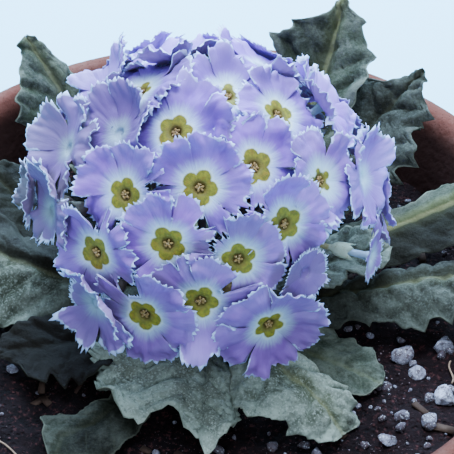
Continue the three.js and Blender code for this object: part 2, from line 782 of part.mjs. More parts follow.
// A sheet of points made solid: each point goes half its thickness up and down its own normal.
function thickened(middle, thick, triangles, outline) {
  const normals = middle.map(() => new THREE.Vector3());
  const facet = new THREE.Triangle();
  const normal = new THREE.Vector3();
  for (const corners of triangles) {
    facet.set(...corners.map((index) => middle[index]));
    facet.getNormal(normal).multiplyScalar(facet.getArea());
    corners.forEach((index) => normals[index].add(normal));
  }
  normals.forEach((sum) => sum.normalize());
  const shifted = (side) =>
    middle.map((point, n) => point.clone().addScaledVector(normals[n], side * thick[n]));
  const under = middle.length;
  const faces = triangles.flatMap(([a, b, c]) => [[a, b, c], [under + a, under + c, under + b]]);
  outline.forEach((a, n) => {
    const b = outline[(n + 1) % outline.length];
    faces.push([under + a, under + b, a], [under + b, b, a]);
  });
  return surface([...shifted(1), ...shifted(-1)], faces);
}

// The plant in its pot, one named mesh for each piece.
const primrose = new THREE.Group();

function addPiece(name, geometry, colour, roughness) {
  const material = new THREE.MeshStandardMaterial({ color: colour, roughness, metalness: 0 });
  const mesh = new THREE.Mesh(geometry, material);
  mesh.name = name;
  primrose.add(mesh);
}

addPiece("pot", potGeometry(), 0x9c5340, 0.9);
addPiece("soil", soilGeometry(), 0x2c211d, 1);
addPiece("crown", crownGeometry(), 0x6b6a45, 0.8);

const blooms = BLOOMS.map((bloom) => ({ ...bloom, ...bloomFrame(bloom) }));
bendPetals(blooms);
for (const bloom of blooms) {
  addPiece("bloom_" + bloom.name, bloomGeometry(bloom), 0x9b8ad6, 0.6);
}

STALK_BEARINGS.forEach((bearing, n) => {
  const own = blooms.filter((bloom) => {
    const away = Math.abs(bloom.bearing - bearing) % 360;
    return Math.min(away, 360 - away) < STALK_SECTOR / 2;
  });
  addPiece("flower_stalk_" + (n + 1), stalkGeometry(bearing, own), 0x9fb07a, 0.7);
});

for (const leaf of LEAVES) {
  addPiece(leaf.name, leafGeometry(leaf), 0x6f8a72, 0.8);
}

export default primrose;
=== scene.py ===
import bmesh
import bpy
import math
import numpy as np
import random
from mathutils import Matrix, Vector, noise
from mathutils.bvhtree import BVHTree


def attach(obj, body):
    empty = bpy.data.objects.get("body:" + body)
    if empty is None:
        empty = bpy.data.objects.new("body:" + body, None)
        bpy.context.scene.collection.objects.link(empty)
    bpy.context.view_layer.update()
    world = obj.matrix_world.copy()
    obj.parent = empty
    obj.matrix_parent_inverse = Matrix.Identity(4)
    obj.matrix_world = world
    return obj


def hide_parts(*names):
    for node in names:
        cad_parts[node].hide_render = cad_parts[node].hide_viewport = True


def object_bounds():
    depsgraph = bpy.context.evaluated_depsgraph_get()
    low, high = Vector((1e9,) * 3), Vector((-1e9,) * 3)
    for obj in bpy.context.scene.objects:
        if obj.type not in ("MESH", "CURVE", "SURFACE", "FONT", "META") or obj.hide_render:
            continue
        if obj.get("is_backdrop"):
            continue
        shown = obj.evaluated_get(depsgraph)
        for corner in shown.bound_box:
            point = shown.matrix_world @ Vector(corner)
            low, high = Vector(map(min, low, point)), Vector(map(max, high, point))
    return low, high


# A primrose in its clay pot, seen from above its front. Lengths here are in millimetres, turned to
# metres where a mesh is made.
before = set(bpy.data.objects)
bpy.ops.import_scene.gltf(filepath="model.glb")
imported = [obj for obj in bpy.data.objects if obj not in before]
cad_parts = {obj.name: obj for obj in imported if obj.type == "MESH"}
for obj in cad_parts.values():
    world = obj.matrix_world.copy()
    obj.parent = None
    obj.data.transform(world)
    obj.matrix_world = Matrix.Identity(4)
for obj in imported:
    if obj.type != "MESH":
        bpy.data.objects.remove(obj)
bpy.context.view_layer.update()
MM = 0.001


# The clay pot
# A flower pot thrown in red terracotta, one piece, with a thick band at the rim and a drain hole in the
# foot. It is fired, not glazed, and stands on its foot ring.
POT_PROFILE = [
    (9, 0, 1), (68, 0, 3), (97.5, 102, 3), (103.5, 104.5, 1.5), (107.2, 127, 3.5), (104, 130, 2.5),
    (100.6, 130, 2.5), (97.5, 127, 3), (60, 10, 4), (9, 10, 1),
]
POT_SIDES = 116
ARC_STEPS = 4
THROWING_PITCH = 3.1
THROWING_DEPTH = 0.12
POT_SWAY = 0.25
INNER_WALL = [(60, 10), (97.5, 127)]
RIDGED = (10, 126)


def colour(code):
    """A colour written as six hex digits, as the linear red, green, blue and alpha that a shader takes."""
    parts = [int(code[n : n + 2], 16) / 255 for n in (0, 2, 4)]
    return [p / 12.92 if p <= 0.04045 else ((p + 0.055) / 1.055) ** 2.4 for p in parts] + [1]


def ease(value, low, high):
    """0 up to low, 1 from high on, and smooth between."""
    share = np.clip((value - low) / (high - low), 0, 1)
    return share * share * (3 - 2 * share)


def mix(low, high, share):
    return low + (high - low) * share


class Finish:
    """A material and short ways to add the nodes that it is made of."""

    def __init__(self, name, roughness):
        self.material = bpy.data.materials.new(name)
        self.material.use_nodes = True
        self.nodes = self.material.node_tree.nodes
        self.links = self.material.node_tree.links
        self.skin = self.nodes["Principled BSDF"]
        self.skin.inputs["Roughness"].default_value = roughness
        self.skin.inputs["Specular IOR Level"].default_value = 0.15

    def put(self, node, socket, value):
        if isinstance(value, bpy.types.NodeSocket):
            self.links.new(value, node.inputs[socket])
        else:
            node.inputs[socket].default_value = value

    def place(self):
        return self.nodes.new("ShaderNodeNewGeometry").outputs["Position"]

    def given(self, name):
        """A value that the mesh carries at each of its points."""
        node = self.nodes.new("ShaderNodeAttribute")
        node.attribute_name = name
        return node.outputs["Fac"]

    def cloud(self, scale, detail=4, vector=None, roughness=0.55):
        node = self.nodes.new("ShaderNodeTexNoise")
        self.put(node, "Scale", scale)
        self.put(node, "Detail", detail)
        self.put(node, "Roughness", roughness)
        self.put(node, "Vector", self.place() if vector is None else vector)
        return node.outputs["Fac"]

    def grains(self, scale, vector=None):
        node = self.nodes.new("ShaderNodeTexVoronoi")
        self.put(node, "Scale", scale)
        self.put(node, "Vector", self.place() if vector is None else vector)
        return node.outputs["Distance"]

    def between(self, value, low, high, start=0.0, end=1.0):
        """The value's way from low to high, smoothly, as a number from start to end."""
        node = self.nodes.new("ShaderNodeMapRange")
        node.interpolation_type = "SMOOTHSTEP"
        for socket, number in (("Value", value), ("From Min", low), ("From Max", high)):
            self.put(node, socket, number)
        self.put(node, "To Min", start)
        self.put(node, "To Max", end)
        return node.outputs["Result"]

    def reckoned(self, kind, one, other=0.0):
        node = self.nodes.new("ShaderNodeMath")
        node.operation = kind
        self.put(node, 0, one)
        self.put(node, 1, other)
        return node.outputs[0]

    def times(self, one, other):
        return self.reckoned("MULTIPLY", one, other)

    def plus(self, one, other):
        return self.reckoned("ADD", one, other)

    def minus(self, one, other):
        return self.reckoned("SUBTRACT", one, other)

    def vector(self, x, y, z):
        node = self.nodes.new("ShaderNodeCombineXYZ")
        for socket, number in zip("XYZ", (x, y, z)):
            self.put(node, socket, number)
        return node.outputs[0]

    def blend(self, share, one, other):
        """From one colour to the other as the share goes from 0 to 1."""
        node = self.nodes.new("ShaderNodeMix")
        node.data_type = "RGBA"
        self.put(node, "Factor", share)
        self.put(node, 6, colour(one) if isinstance(one, str) else one)
        self.put(node, 7, colour(other) if isinstance(other, str) else other)
        return node.outputs[2]

    def dent(self, height, depth, strength=1.0, under=None):
        node = self.nodes.new("ShaderNodeBump")
        self.put(node, "Height", height)
        self.put(node, "Distance", depth * MM)
        self.put(node, "Strength", strength)
        if under is not None:
            self.links.new(under, node.inputs["Normal"])
        return node.outputs["Normal"]

    def wear(self, base, normal=None, roughness=None):
        self.links.new(base, self.skin.inputs["Base Color"])
        if normal is not None:
            self.links.new(normal, self.skin.inputs["Normal"])
        if roughness is not None:
            self.links.new(roughness, self.skin.inputs["Roughness"])
        return self.material


def make_piece(name, points, faces, materials, given=None, face_finish=None):
    """A smooth mesh piece from points in mm, with the values that its material reads at each point."""
    mesh = bpy.data.meshes.new(name)
    mesh.from_pydata((np.asarray(points) * MM).tolist(), [], faces)
    for key, values in (given or {}).items():
        mesh.attributes.new(key, "FLOAT", "POINT").data.foreach_set("value", np.asarray(values, np.float32))
    for material in materials:
        mesh.materials.append(material)
    if face_finish is not None:
        mesh.polygons.foreach_set("material_index", face_finish)
    mesh.polygons.foreach_set("use_smooth", [True] * len(mesh.polygons))
    form = bmesh.new()
    form.from_mesh(mesh)
    bmesh.ops.recalc_face_normals(form, faces=form.faces)
    form.to_mesh(mesh)
    form.free()
    piece = bpy.data.objects.new(name, mesh)
    bpy.context.scene.collection.objects.link(piece)
    return piece


def settle(piece, slot, *nodes):
    """The piece rides with the whole part and stands for its nodes. The slot is not used."""
    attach(piece, "root")
    if nodes:
        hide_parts(*nodes)


def rounded(corners):
    """A closed outline of (radius, height, rounding) corners, each rounded by an arc."""
    points = []
    for n, (x, y, rounding) in enumerate(corners):
        corner = np.array((x, y), float)
        before = np.array(corners[n - 1][:2]) - corner
        after = np.array(corners[(n + 1) % len(corners)][:2]) - corner
        reach = min(rounding, 0.45 * np.linalg.norm(before), 0.45 * np.linalg.norm(after))
        start = corner + before / np.linalg.norm(before) * reach
        end = corner + after / np.linalg.norm(after) * reach
        for share in np.linspace(0, 1, ARC_STEPS):
            points.append(mix(mix(start, corner, share), mix(corner, end, share), share))
    return np.array(points)


def ring_faces(rings, sides, closed=False):
    """The faces between rings of points, each of so many sides."""
    faces = []
    for ring in range(rings if closed else rings - 1):
        above = (ring + 1) % rings
        for side in range(sides):
            beside = (side + 1) % sides
            faces.append(
                (ring * sides + side, ring * sides + beside, above * sides + beside, above * sides + side)
            )
    return faces


def pot_outline():
    """The profile with extra points along its long sides, so that the throwing rings show."""
    outline = []
    corners = rounded(POT_PROFILE)
    for here, there in zip(corners, np.roll(corners, -1, axis=0)):
        steps = max(1, int(np.linalg.norm(there - here) / (THROWING_PITCH / 1.6)))
        outline += [mix(here, there, n / steps) for n in range(steps)]
    return np.array(outline)


outline = pot_outline()
turns = np.linspace(0, 2 * math.pi, POT_SIDES, endpoint=False)
pot_points = []
for radius, height in outline:
    ridge = THROWING_DEPTH * math.sin(2 * math.pi * height / THROWING_PITCH)
    ridge *= RIDGED[0] < height < RIDGED[1]
    for turn in turns:
        sway = POT_SWAY * noise.noise(Vector((math.cos(turn), math.sin(turn), height / 60))) * (height > 3)
        out = radius + ridge + sway
        pot_points.append((out * math.cos(turn), out * math.sin(turn), height))

clay = Finish("terracotta", 0.9)
patches = clay.cloud(28, 6)
dust = clay.between(clay.cloud(70, 8, roughness=0.7), 0.42, 0.68)
specks = clay.between(clay.grains(900), 0.05, 0.3)
high = clay.nodes.new("ShaderNodeSeparateXYZ")
clay.put(high, 0, clay.place())
level = clay.plus(high.outputs["Z"], clay.times(patches, 0.012))
# Painted shade with damp clay: the inner wall darkens below the lip.
damp_and_shade = clay.between(level, 0.1265, 0.1365, 0.93, 0)
fired = clay.blend(patches, "8d4a3b", "b06a55")
fired = clay.blend(clay.times(dust, 0.5), fired, "c99c8c")
fired = clay.blend(clay.times(specks, 0.25), "4f2a22", fired)
fired = clay.blend(clay.times(damp_and_shade, clay.given("inside")), fired, "2b1815")
rough = clay.dent(clay.cloud(420, 6), 0.5, under=clay.dent(patches, 1.2, 0.6))
terracotta = clay.wear(fired, rough)
# The inside, which the soil keeps damp, takes a darker tone below the lip: the damp clay, and painted shade.
(foot, low_end), (lip, high_end) = INNER_WALL
inside = [
    z > low_end - 1 and math.hypot(x, y) < 2.5 + mix(foot, lip, (z - low_end) / (high_end - low_end))
    for x, y, z in pot_points
]
pot_faces = ring_faces(len(outline), POT_SIDES, closed=True)
pot = make_piece("clay_pot", pot_points, pot_faces, [terracotta], {"inside": inside})
settle(pot, "clay", "pot")


# The soil
# A dark, damp potting mix of bark, peat and fine sand that fills the pot to 25 mm under the rim. It is
# loose, so its top is crumbly, and it closes round the rootstock.
SOIL_TOP = 105
SOIL_FOOT = 10.3
SOIL_FOOT_RADIUS = 59.7
SOIL_RADIUS = 90.2
SOIL_HOLE = 10.3
SOIL_SIDES = 310
FINE_RINGS = 62
LUMPS = [(9, 1.6), (4.2, 0.8), (1.9, 0.45)]


def soil_height(x, y):
    """The top of the soil as the frame has it: a slow swell, a little higher round the rootstock."""
    swell = math.sin(x / 17 + 1) * math.cos(y / 13) + 0.6 * math.sin((x + y) / 9)
    return SOIL_TOP + 0.7 * swell + 1 - min(1, math.hypot(x, y) / 60)


def crumbled(x, y):
    """The same with the crumbs of the mix on it."""
    rise = sum(depth * noise.noise(Vector((x / size, y / size, size))) for size, depth in LUMPS)
    away = abs(math.hypot(x, y) - SOIL_HOLE)
    return soil_height(x, y) + rise * ease(away, 0, 4)


soil_rings = list(np.linspace(SOIL_HOLE, 30, 10)) + list(np.linspace(30, SOIL_RADIUS, FINE_RINGS)[1:])
turns = np.linspace(0, 2 * math.pi, SOIL_SIDES, endpoint=False)
soil_points = []
for radius in soil_rings:
    for turn in turns:
        x, y = radius * math.cos(turn), radius * math.sin(turn)
        soil_points.append((x, y, crumbled(x, y)))
for radius, height in ((SOIL_FOOT_RADIUS, SOIL_FOOT), (SOIL_HOLE, SOIL_FOOT)):
    soil_points += [(radius * math.cos(turn), radius * math.sin(turn), height) for turn in turns]

earth = Finish("potting_mix", 0.95)
clods = earth.cloud(160, 8, roughness=0.75)
bits = earth.between(earth.grains(520), 0.1, 0.45)
sides = earth.nodes.new("ShaderNodeSeparateXYZ")
earth.put(sides, 0, earth.place())
dark = earth.blend(earth.between(clods, 0.35, 0.65), "0a0506", "1b0e0f")
crumb_tops = earth.between(earth.cloud(620, 5, roughness=0.7), 0.53, 0.71, 0, 0.75)
dark = earth.blend(crumb_tops, dark, "603634")
# Painted light: the soil is a little paler at the right, where more light falls.
dark = earth.blend(earth.between(sides.outputs["X"], 0.03, 0.07, 0, 0.06), dark, "523030")
pale_bits = earth.between(earth.cloud(1300, 2), 0.67, 0.72, 0, 0.6)
dark = earth.blend(earth.times(pale_bits, earth.between(earth.cloud(40), 0.4, 0.6)), dark, "b09496")
crumbs = earth.dent(bits, 0.5, under=earth.dent(clods, 1.5))
potting_mix = earth.wear(dark, crumbs)
soil = make_piece(
    "soil_mix", soil_points, ring_faces(len(soil_rings) + 2, SOIL_SIDES, closed=True), [potting_mix]
)
settle(soil, "soil", "soil")


# The grit
# Crushed pale stone that the gardener scatters on the mix, with finer grit, chips of bark and a few
# straws among it. All of it lies loose, pressed a little way into the soil.
FRONT_STONES = [
    (59, -14, 3.4), (72, -11, 3.6), (63, -22, 2.6), (71, -33, 3.8), (58, -41, 2.4), (53, -50, 2.6),
    (66, -43, 2.8),
]
FRONT_TONES = [0.5, 0.8, 0.6, 1, 0.2, 0.6, 0.4]
STONE_SEED = 41
STONE_DRAWS = 4
BACK_STONES = 4
BROKEN_SIDES = 9
GRIT_SEED = 5
FINE_GRIT = 220
GRIT_SIZES = [0.5, 0.7, 0.8, 1.1, 1.6, 2.1]
CHIPS = 60
STRAW_HOOPS = 12
STRAW_SIDES = 6
STRAW_RADIUS = 0.3
STRAWS = [(-60, -50, 128, 19), (-75, -36, 62, 14), (73.5, -22, 83, 9), (80, 22, 95, 12), (-30, 78, 10, 22)]


def drawn(seed):
    """The repeatable draws that also place the frame's stones."""
    while True:
        seed = seed * 16807 % 2147483647
        yield seed / 2147483647


def stone_places():
    """Every large stone as (x, y, radius): the front ones, and one in each stretch round the back."""
    draws = drawn(STONE_SEED)
    places = list(FRONT_STONES)
    for _ in range(STONE_DRAWS * len(FRONT_STONES)):
        next(draws)
    for n in range(BACK_STONES):
        bearing = math.radians(60 + 60 * (n + 0.2 * next(draws)))
        out = mix(66, 80, next(draws))
        places.append((out * math.cos(bearing), out * math.sin(bearing), mix(2, 3.4, next(draws))))
        for _ in range(STONE_DRAWS):
            next(draws)
    return places


def ball(steps):
    """Points and faces of a round ball."""
    bpy.ops.mesh.primitive_ico_sphere_add(subdivisions=steps, radius=1)
    sample = bpy.context.object
    points = np.array([v.co for v in sample.data.vertices])
    faces = [tuple(p.vertices) for p in sample.data.polygons]
    bpy.data.objects.remove(sample)
    return points, faces


def crushed(points, rng):
    """A ball broken into a stone: cut by a few planes, then pitted."""
    start = Vector([rng.uniform(0, 50) for _ in range(3)])
    cut = points.copy()
    for _ in range(BROKEN_SIDES):
        side = np.array([rng.gauss(0, 1) for _ in range(3)])
        side /= np.linalg.norm(side)
        over = np.maximum(0, cut @ side - rng.uniform(0.55, 0.85))
        cut -= over[:, None] * side
    places = [Vector(p) for p in points]
    pits = [noise.noise(p * 2.3 + start) + 0.5 * noise.noise(p * 6 + start) for p in places]
    return cut * (1 + 0.1 * np.array(pits)[:, None]) * (1, rng.uniform(0.7, 1), rng.uniform(0.6, 0.85))


def turned_about(points, rng):
    """The points turned to a random heading, tipped a little."""
    turn = Matrix.Rotation(rng.uniform(0, 2 * math.pi), 3, "Z")
    turn = turn @ Matrix.Rotation(rng.uniform(-0.4, 0.4), 3, "X")
    return points @ np.array(turn).T


class Heap:
    """Loose pieces gathered into one mesh."""

    def __init__(self):
        self.points = []
        self.faces = []
        self.tones = []

    def add(self, points, faces, tone=0.0):
        start = len(self.points)
        self.points += [tuple(p) for p in points]
        self.faces += [tuple(start + n for n in face) for face in faces]
        self.tones += list(np.broadcast_to(tone, len(points)))


rng = random.Random(GRIT_SEED)
stones = Heap()
fine_ball = ball(4)
for (x, y, radius), tone in zip(stone_places(), FRONT_TONES + [0.5] * BACK_STONES):
    points = turned_about(crushed(fine_ball[0], rng), rng) * radius * 1.12
    stones.add(points + (x, y, soil_height(x, y) + 0.3 * radius), fine_ball[1], tone)
small_ball = ball(2)
for _ in range(FINE_GRIT):
    bearing = math.radians(rng.choice([rng.uniform(-70, 10), rng.uniform(-180, 180)]))
    out = rng.uniform(34, 88)
    radius = rng.choice(GRIT_SIZES)
    x, y = out * math.cos(bearing), out * math.sin(bearing)
    points = turned_about(crushed(small_ball[0], rng), rng) * radius
    stones.add(points + (x, y, crumbled(x, y) + 0.2 * radius), small_ball[1], 0.7 * rng.random() ** 2)

stone = Finish("crushed_stone", 0.85)
tone = stone.given("tone")
veining = stone.cloud(600, 8, roughness=0.7)
pale = stone.blend(tone, "4a3e46", "cecbda")
pale = stone.blend(stone.between(veining, 0.35, 0.65), "574544", pale)
pale = stone.blend(stone.between(stone.cloud(1800, 2), 0.58, 0.7), pale, "e4e4e8")
crushed_stone = stone.wear(pale, stone.dent(veining, 0.4))
grit = make_piece("grit", stones.points, stones.faces, [crushed_stone], {"tone": stones.tones})
settle(grit, "soil")

litter = Heap()
box_faces = [(0, 1, 3, 2), (4, 6, 7, 5), (0, 4, 5, 1), (2, 3, 7, 6), (0, 2, 6, 4), (1, 5, 7, 3)]
for _ in range(CHIPS):
    bearing = rng.uniform(0, 2 * math.pi)
    out = rng.uniform(34, 86)
    size = np.array((rng.uniform(1.2, 4), rng.uniform(0.6, 1.6), rng.uniform(0.25, 0.6)))
    corners = np.array([(a, b, c) for c in (-1, 1) for b in (-1, 1) for a in (-1, 1)]) * size
    corners += np.array([[rng.uniform(-0.3, 0.3) for _ in range(3)] for _ in range(8)])
    x, y = out * math.cos(bearing), out * math.sin(bearing)
    litter.add(turned_about(corners, rng) + (x, y, crumbled(x, y) + 0.3), box_faces, rng.uniform(0, 0.16))
for x, y, heading, length in STRAWS:
    across = Vector((-math.sin(math.radians(heading)), math.cos(math.radians(heading)), 0))
    ahead = Vector((across.y, -across.x, 0))
    rings = []
    for share in np.linspace(-0.5, 0.5, STRAW_HOOPS):
        middle = Vector((x, y, 0)) + ahead * share * length + across * 0.8 * math.sin(5 * share)
        middle.z = crumbled(middle.x, middle.y) * 0.3 + soil_height(x, y) * 0.7 + 0.9
        for turn in np.linspace(0, 2 * math.pi, STRAW_SIDES, endpoint=False):
            rings.append(middle + STRAW_RADIUS * (across * math.cos(turn) + Vector((0, 0, math.sin(turn)))))
    sides = [face[::-1] for face in ring_faces(STRAW_HOOPS, STRAW_SIDES)]
    ends = [tuple(range(STRAW_SIDES - 1, -1, -1)), tuple(range(len(rings) - STRAW_SIDES, len(rings)))]
    litter.add(rings, sides + ends, 1)

bark = Finish("bark_and_straw", 0.85)
grain = bark.cloud(500, 5)
brown = bark.blend(bark.given("tone"), "34201a", "b8957a")
brown = bark.blend(bark.times(grain, 0.6), brown, "22120e")
bark_and_straw = bark.wear(brown, bark.dent(grain, 0.3))
scraps = make_piece("bark_and_straw", litter.points, litter.faces, [bark_and_straw], {"tone": litter.tones})
settle(scraps, "soil")


# The crown
# The short rootstock of the plant, a corky upright stump ringed with the scars of old leaves. It grows
# in the soil, and every leaf and flower stalk comes out of it.
CROWN_PROFILE = [(6, 79), (9.9, 89), (9.9, 117), (8, 119)]
CROWN_SIDES = 40
CROWN_RINGS = 50
SCAR_PITCH = 3.2

crown_points = []
radii, heights = zip(*CROWN_PROFILE)
for height in np.linspace(heights[0], heights[-1], CROWN_RINGS):
    radius = np.interp(height, heights, radii)
    for turn in np.linspace(0, 2 * math.pi, CROWN_SIDES, endpoint=False):
        scar = abs(math.sin(math.pi * (height / SCAR_PITCH + turn / (2 * math.pi))))
        lump = noise.noise(Vector((3 * math.cos(turn), 3 * math.sin(turn), height / 3)))
        out = radius - 0.5 * scar + 0.4 * lump
        crown_points.append((out * math.cos(turn), out * math.sin(turn), height))
crown_faces = ring_faces(CROWN_RINGS, CROWN_SIDES)
last = len(crown_points) - CROWN_SIDES
crown_faces += [tuple(range(CROWN_SIDES - 1, -1, -1)), tuple(range(last, last + CROWN_SIDES))]

cork = Finish("cork", 0.85)
fibre = cork.cloud(260, 6, roughness=0.7)
corky = cork.wear(cork.blend(fibre, "4a321e", "a08250"), cork.dent(fibre, 0.8))
crown = make_piece("rootstock", crown_points, crown_faces, [corky])
settle(crown, "rootstock", "crown")


# The leaves
# Broad, thick blades with a stout pale rib, puckered between the side veins, jagged at the edge and dusted
# with a white meal. Each grows out of the crown on a short flat foot.
LEAVES = [
    ("leaf_01", 126, 97, 32, 2, (4, 22, 44), 18, 0, 0.14),
    ("leaf_02", 63, 104, 36, 2, (4, 26, 48), 16, 0, 0.14),
    ("leaf_03", 43, 94, 34, 1, (6, 26, 36), -6, -6, 0.12),
    ("leaf_04", 25, 86, 28, 0, (10, 14, 9), -18, 2, 0.05),
    ("leaf_05", 1, 86, 36, 1, (9, 12, 8), -40, -6, 0.05),
    ("leaf_06", -54, 58, 36, 2, (14, 2, -46), -12, -6, 0.06),
    ("leaf_07", -101, 50, 40, 1, (9, 1, -9), -3, 0, 0.12),
    ("leaf_08", -131, 55, 32, 0, (1, -1, 0), 0, 0, 0.05),
    ("leaf_09", 168, 86, 42, 2, (4, 12, 2), -24, -16, 0.08),
    ("leaf_10", -158, 56, 28, 1, (0, 0, -4), 2, 0, 0.06),
    ("leaf_11", 144, 78, 28, 0, (2, 10, 18), 10, 0, 0.1),
    ("leaf_12", -30, 50, 24, 0, (2, 4, -8), -6, 0, 0.06),
    ("leaf_13", 9, 48, 22, 2, (18, 16, 8), 6, 0, 0.14),
    ("leaf_14", 95, 88, 38, 1, (2, 22, 20), -8, 0, 0.1),
]
# The outlines of the leaves that show, as (share along, mm to the left): the rib, the left and right edge.
OUTLINES = {
    "leaf_01": (
        [(0, 0), (0.5, 0), (0.81, -2.8), (0.89, -1.8), (1, 0)],
        [(0, 3.2), (0.1, 3.2), (0.6, 13), (0.7, 15.5), (0.73, 16), (0.745, 19.5), (0.765, 16.3), (0.79, 16.5),
         (0.81, 17.2), (0.84, 12.2), (0.86, 12), (0.89, 10), (0.94, 5.5), (0.965, 2.6), (0.985, 3.6), (1, 0)],
        [(0, -3.2), (0.1, -3.2), (0.5, -13), (0.72, -13.5), (0.78, -10.8), (0.83, -8.8), (0.865, -8.6),
         (0.88, -7.6), (0.92, -5.4), (0.95, -4.6), (0.985, -2.8), (1, 0)],
    ),
    "leaf_02": (
        [(0, 0), (0.7, 0.5), (0.82, 0.8), (0.89, 0.8), (0.96, 2.6), (1, 2.2)],
        [(0, 3.2), (0.1, 3.2), (0.55, 14), (0.66, 12), (0.72, 11.8), (0.74, 13.8), (0.77, 17), (0.81, 19.5),
         (0.82, 16.5), (0.835, 15), (0.845, 13.2), (0.875, 15.2), (0.89, 10.2), (0.91, 7), (0.94, 4.6),
         (0.97, 4), (1, 2.2)],
        [(0, -3.2), (0.1, -3.2), (0.5, -14), (0.78, -17), (0.795, -15), (0.82, -14.5), (0.845, -16.6),
         (0.86, -12), (0.87, -11), (0.9, -8), (0.92, -7.2), (0.94, -9.4), (0.95, -5), (0.965, -1.2),
         (0.98, -0.2), (1, 2.2)],
    ),
    "leaf_03": (
        [(0, 0), (0.45, 3.4), (0.67, 6.5), (0.81, 6.2), (0.89, 4.5), (1, 3)],
        [(0, 3.2), (0.1, 3.2), (0.5, 14), (0.8, 19), (0.87, 19.5), (0.885, 16.8), (0.895, 10), (0.93, 8.4),
         (0.945, 7.4), (0.975, 6.6), (1, 4)],
        [(0, -3.2), (0.1, -3.2), (0.45, -9), (0.6, -9), (0.645, -17), (0.655, -13), (0.69, -13.6),
         (0.725, -18), (0.735, -14.4), (0.765, -17), (0.785, -11), (0.8, -9.2), (0.83, -9.8), (0.85, -8.4),
         (0.885, -11), (0.9, -6.4), (0.915, -3.8), (0.94, -2.2), (0.975, -0.6), (1, 3)],
    ),
    "leaf_04": (
        [(0, 0), (0.58, -0.2), (0.78, -1.5), (0.9, -2), (1, 0)],
        [(0, 3.2), (0.1, 3.2), (0.4, 12), (0.59, 9.8), (0.65, 8.5), (0.7, 6.5), (0.76, 5.5), (0.79, 6.2),
         (0.83, 7.8), (0.86, 7.4), (0.89, 8.2), (0.92, 5.6), (0.97, 3.4), (1, 0)],
        [(0, -3.2), (0.1, -3.2), (0.45, -9), (0.6, -12.6), (0.78, -15.6), (0.9, -13), (0.97, -7), (1, 0)],
    ),
    "leaf_05": (
        [(0, 0), (1, 0)],
        [(0, 3.2), (0.1, 3.2), (0.4, 13), (0.7, 15), (0.9, 11), (1, 0)],
        [(0, -3.2), (0.1, -3.2), (0.27, -8.6), (0.33, -13), (0.365, -12.4), (0.38, -9.8), (0.41, -11.2),
         (0.445, -14), (0.46, -11.8), (0.49, -12.6), (0.53, -11.9), (0.565, -15.4), (0.6, -15.6),
         (0.64, -16.6), (0.66, -14.2), (0.69, -13.2), (0.73, -17), (0.745, -15), (0.79, -17), (0.81, -14),
         (0.87, -14.4), (0.89, -11), (0.94, -9.6), (1, 0)],
    ),
    "leaf_06": (
        [(0, 0), (0.6, -1.2), (0.78, 1.8), (0.97, 3.6), (1, 3.6)],
        [(0, 3.2), (0.1, 3.2), (0.3, 5), (0.5, 5.4), (0.62, 8.4), (0.74, 10.2), (0.79, 13.6), (0.81, 11.6),
         (0.86, 11.4), (0.89, 13.4), (0.91, 12), (0.96, 13), (0.99, 11.5), (1, 9)],
        [(0, -3.2), (0.1, -3.2), (0.35, -13), (0.5, -19), (0.58, -21.2), (0.68, -20.6), (0.7, -18),
         (0.75, -15.4), (0.79, -12), (0.83, -10.8), (0.865, -12.2), (0.88, -9.2), (0.93, -8), (0.945, -5.8),
         (0.97, -5.4), (0.985, -2.6), (1, -1)],
    ),
    "leaf_07": (
        [(0, 0), (0.36, 5.5), (0.69, 7.2), (1, 8.8)],
        [(0, 3.2), (0.1, 4), (0.3, 12), (0.45, 15), (0.6, 17.6), (0.7, 19.6), (1, 19)],
        [(0, -3.2), (0.08, -6), (0.2, -26), (0.33, -30), (0.43, -27), (0.54, -24.6), (1, -24)],
    ),
    "leaf_08": (
        [(0, 0), (0.4, 2), (0.64, 6), (0.84, 5), (1, 2), (1.16, 7)],
        [(0, 3.2), (0.1, 3.2), (0.45, 14), (0.8, 18), (0.94, 18), (1.06, 16), (1.16, 11)],
        [(0, -3.2), (0.1, -3.2), (0.3, -3), (0.5, 0), (0.64, 2.2), (0.68, 0.4), (0.73, 0), (0.84, -1.4),
         (0.88, -5.4), (0.93, -7), (0.97, -8.2), (0.99, -7.2), (1.01, -4.5), (1.06, -3.2), (1.1, 0.2),
         (1.16, 5)],
    ),
    "leaf_09": (
        [(0, 0), (0.4, 3), (0.6, 1.8), (1, 0)],
        [(0, 3.2), (0.1, 3.2), (0.3, 15), (0.35, 18), (0.385, 20.6), (0.4, 20), (0.425, 22), (0.45, 23.6),
         (0.46, 22.4), (0.485, 23.6), (0.5, 22.8), (0.53, 24.4), (0.545, 23), (0.58, 24), (0.6, 22.4),
         (0.66, 22.6), (0.7, 20), (0.76, 19), (0.8, 15.6), (0.88, 12), (0.95, 6), (1, 0)],
        [(0, -3.2), (0.1, -3.2), (0.35, -8.6), (0.5, -9.2), (0.57, -9), (0.62, -13), (0.7, -14), (0.8, -11.6),
         (0.9, -8), (1, 0)],
    ),
    "leaf_10": (
        [(0, 0), (0.65, -0.6), (0.9, -4.6), (1, -4)],
        [(0, 3.2), (0.1, 3.2), (0.4, 14), (0.58, 16.2), (0.655, 16.6), (0.67, 13.4), (0.69, 15), (0.74, 17.8),
         (0.755, 12), (0.77, 10.8), (0.815, 14.4), (0.86, 12.6), (0.885, 8.6), (0.89, 5), (0.92, 0.6),
         (1, -4)],
        [(0, -3.2), (0.1, -3.2), (0.4, -12), (0.8, -13), (0.91, -11.4), (1, -4)],
    ),
}
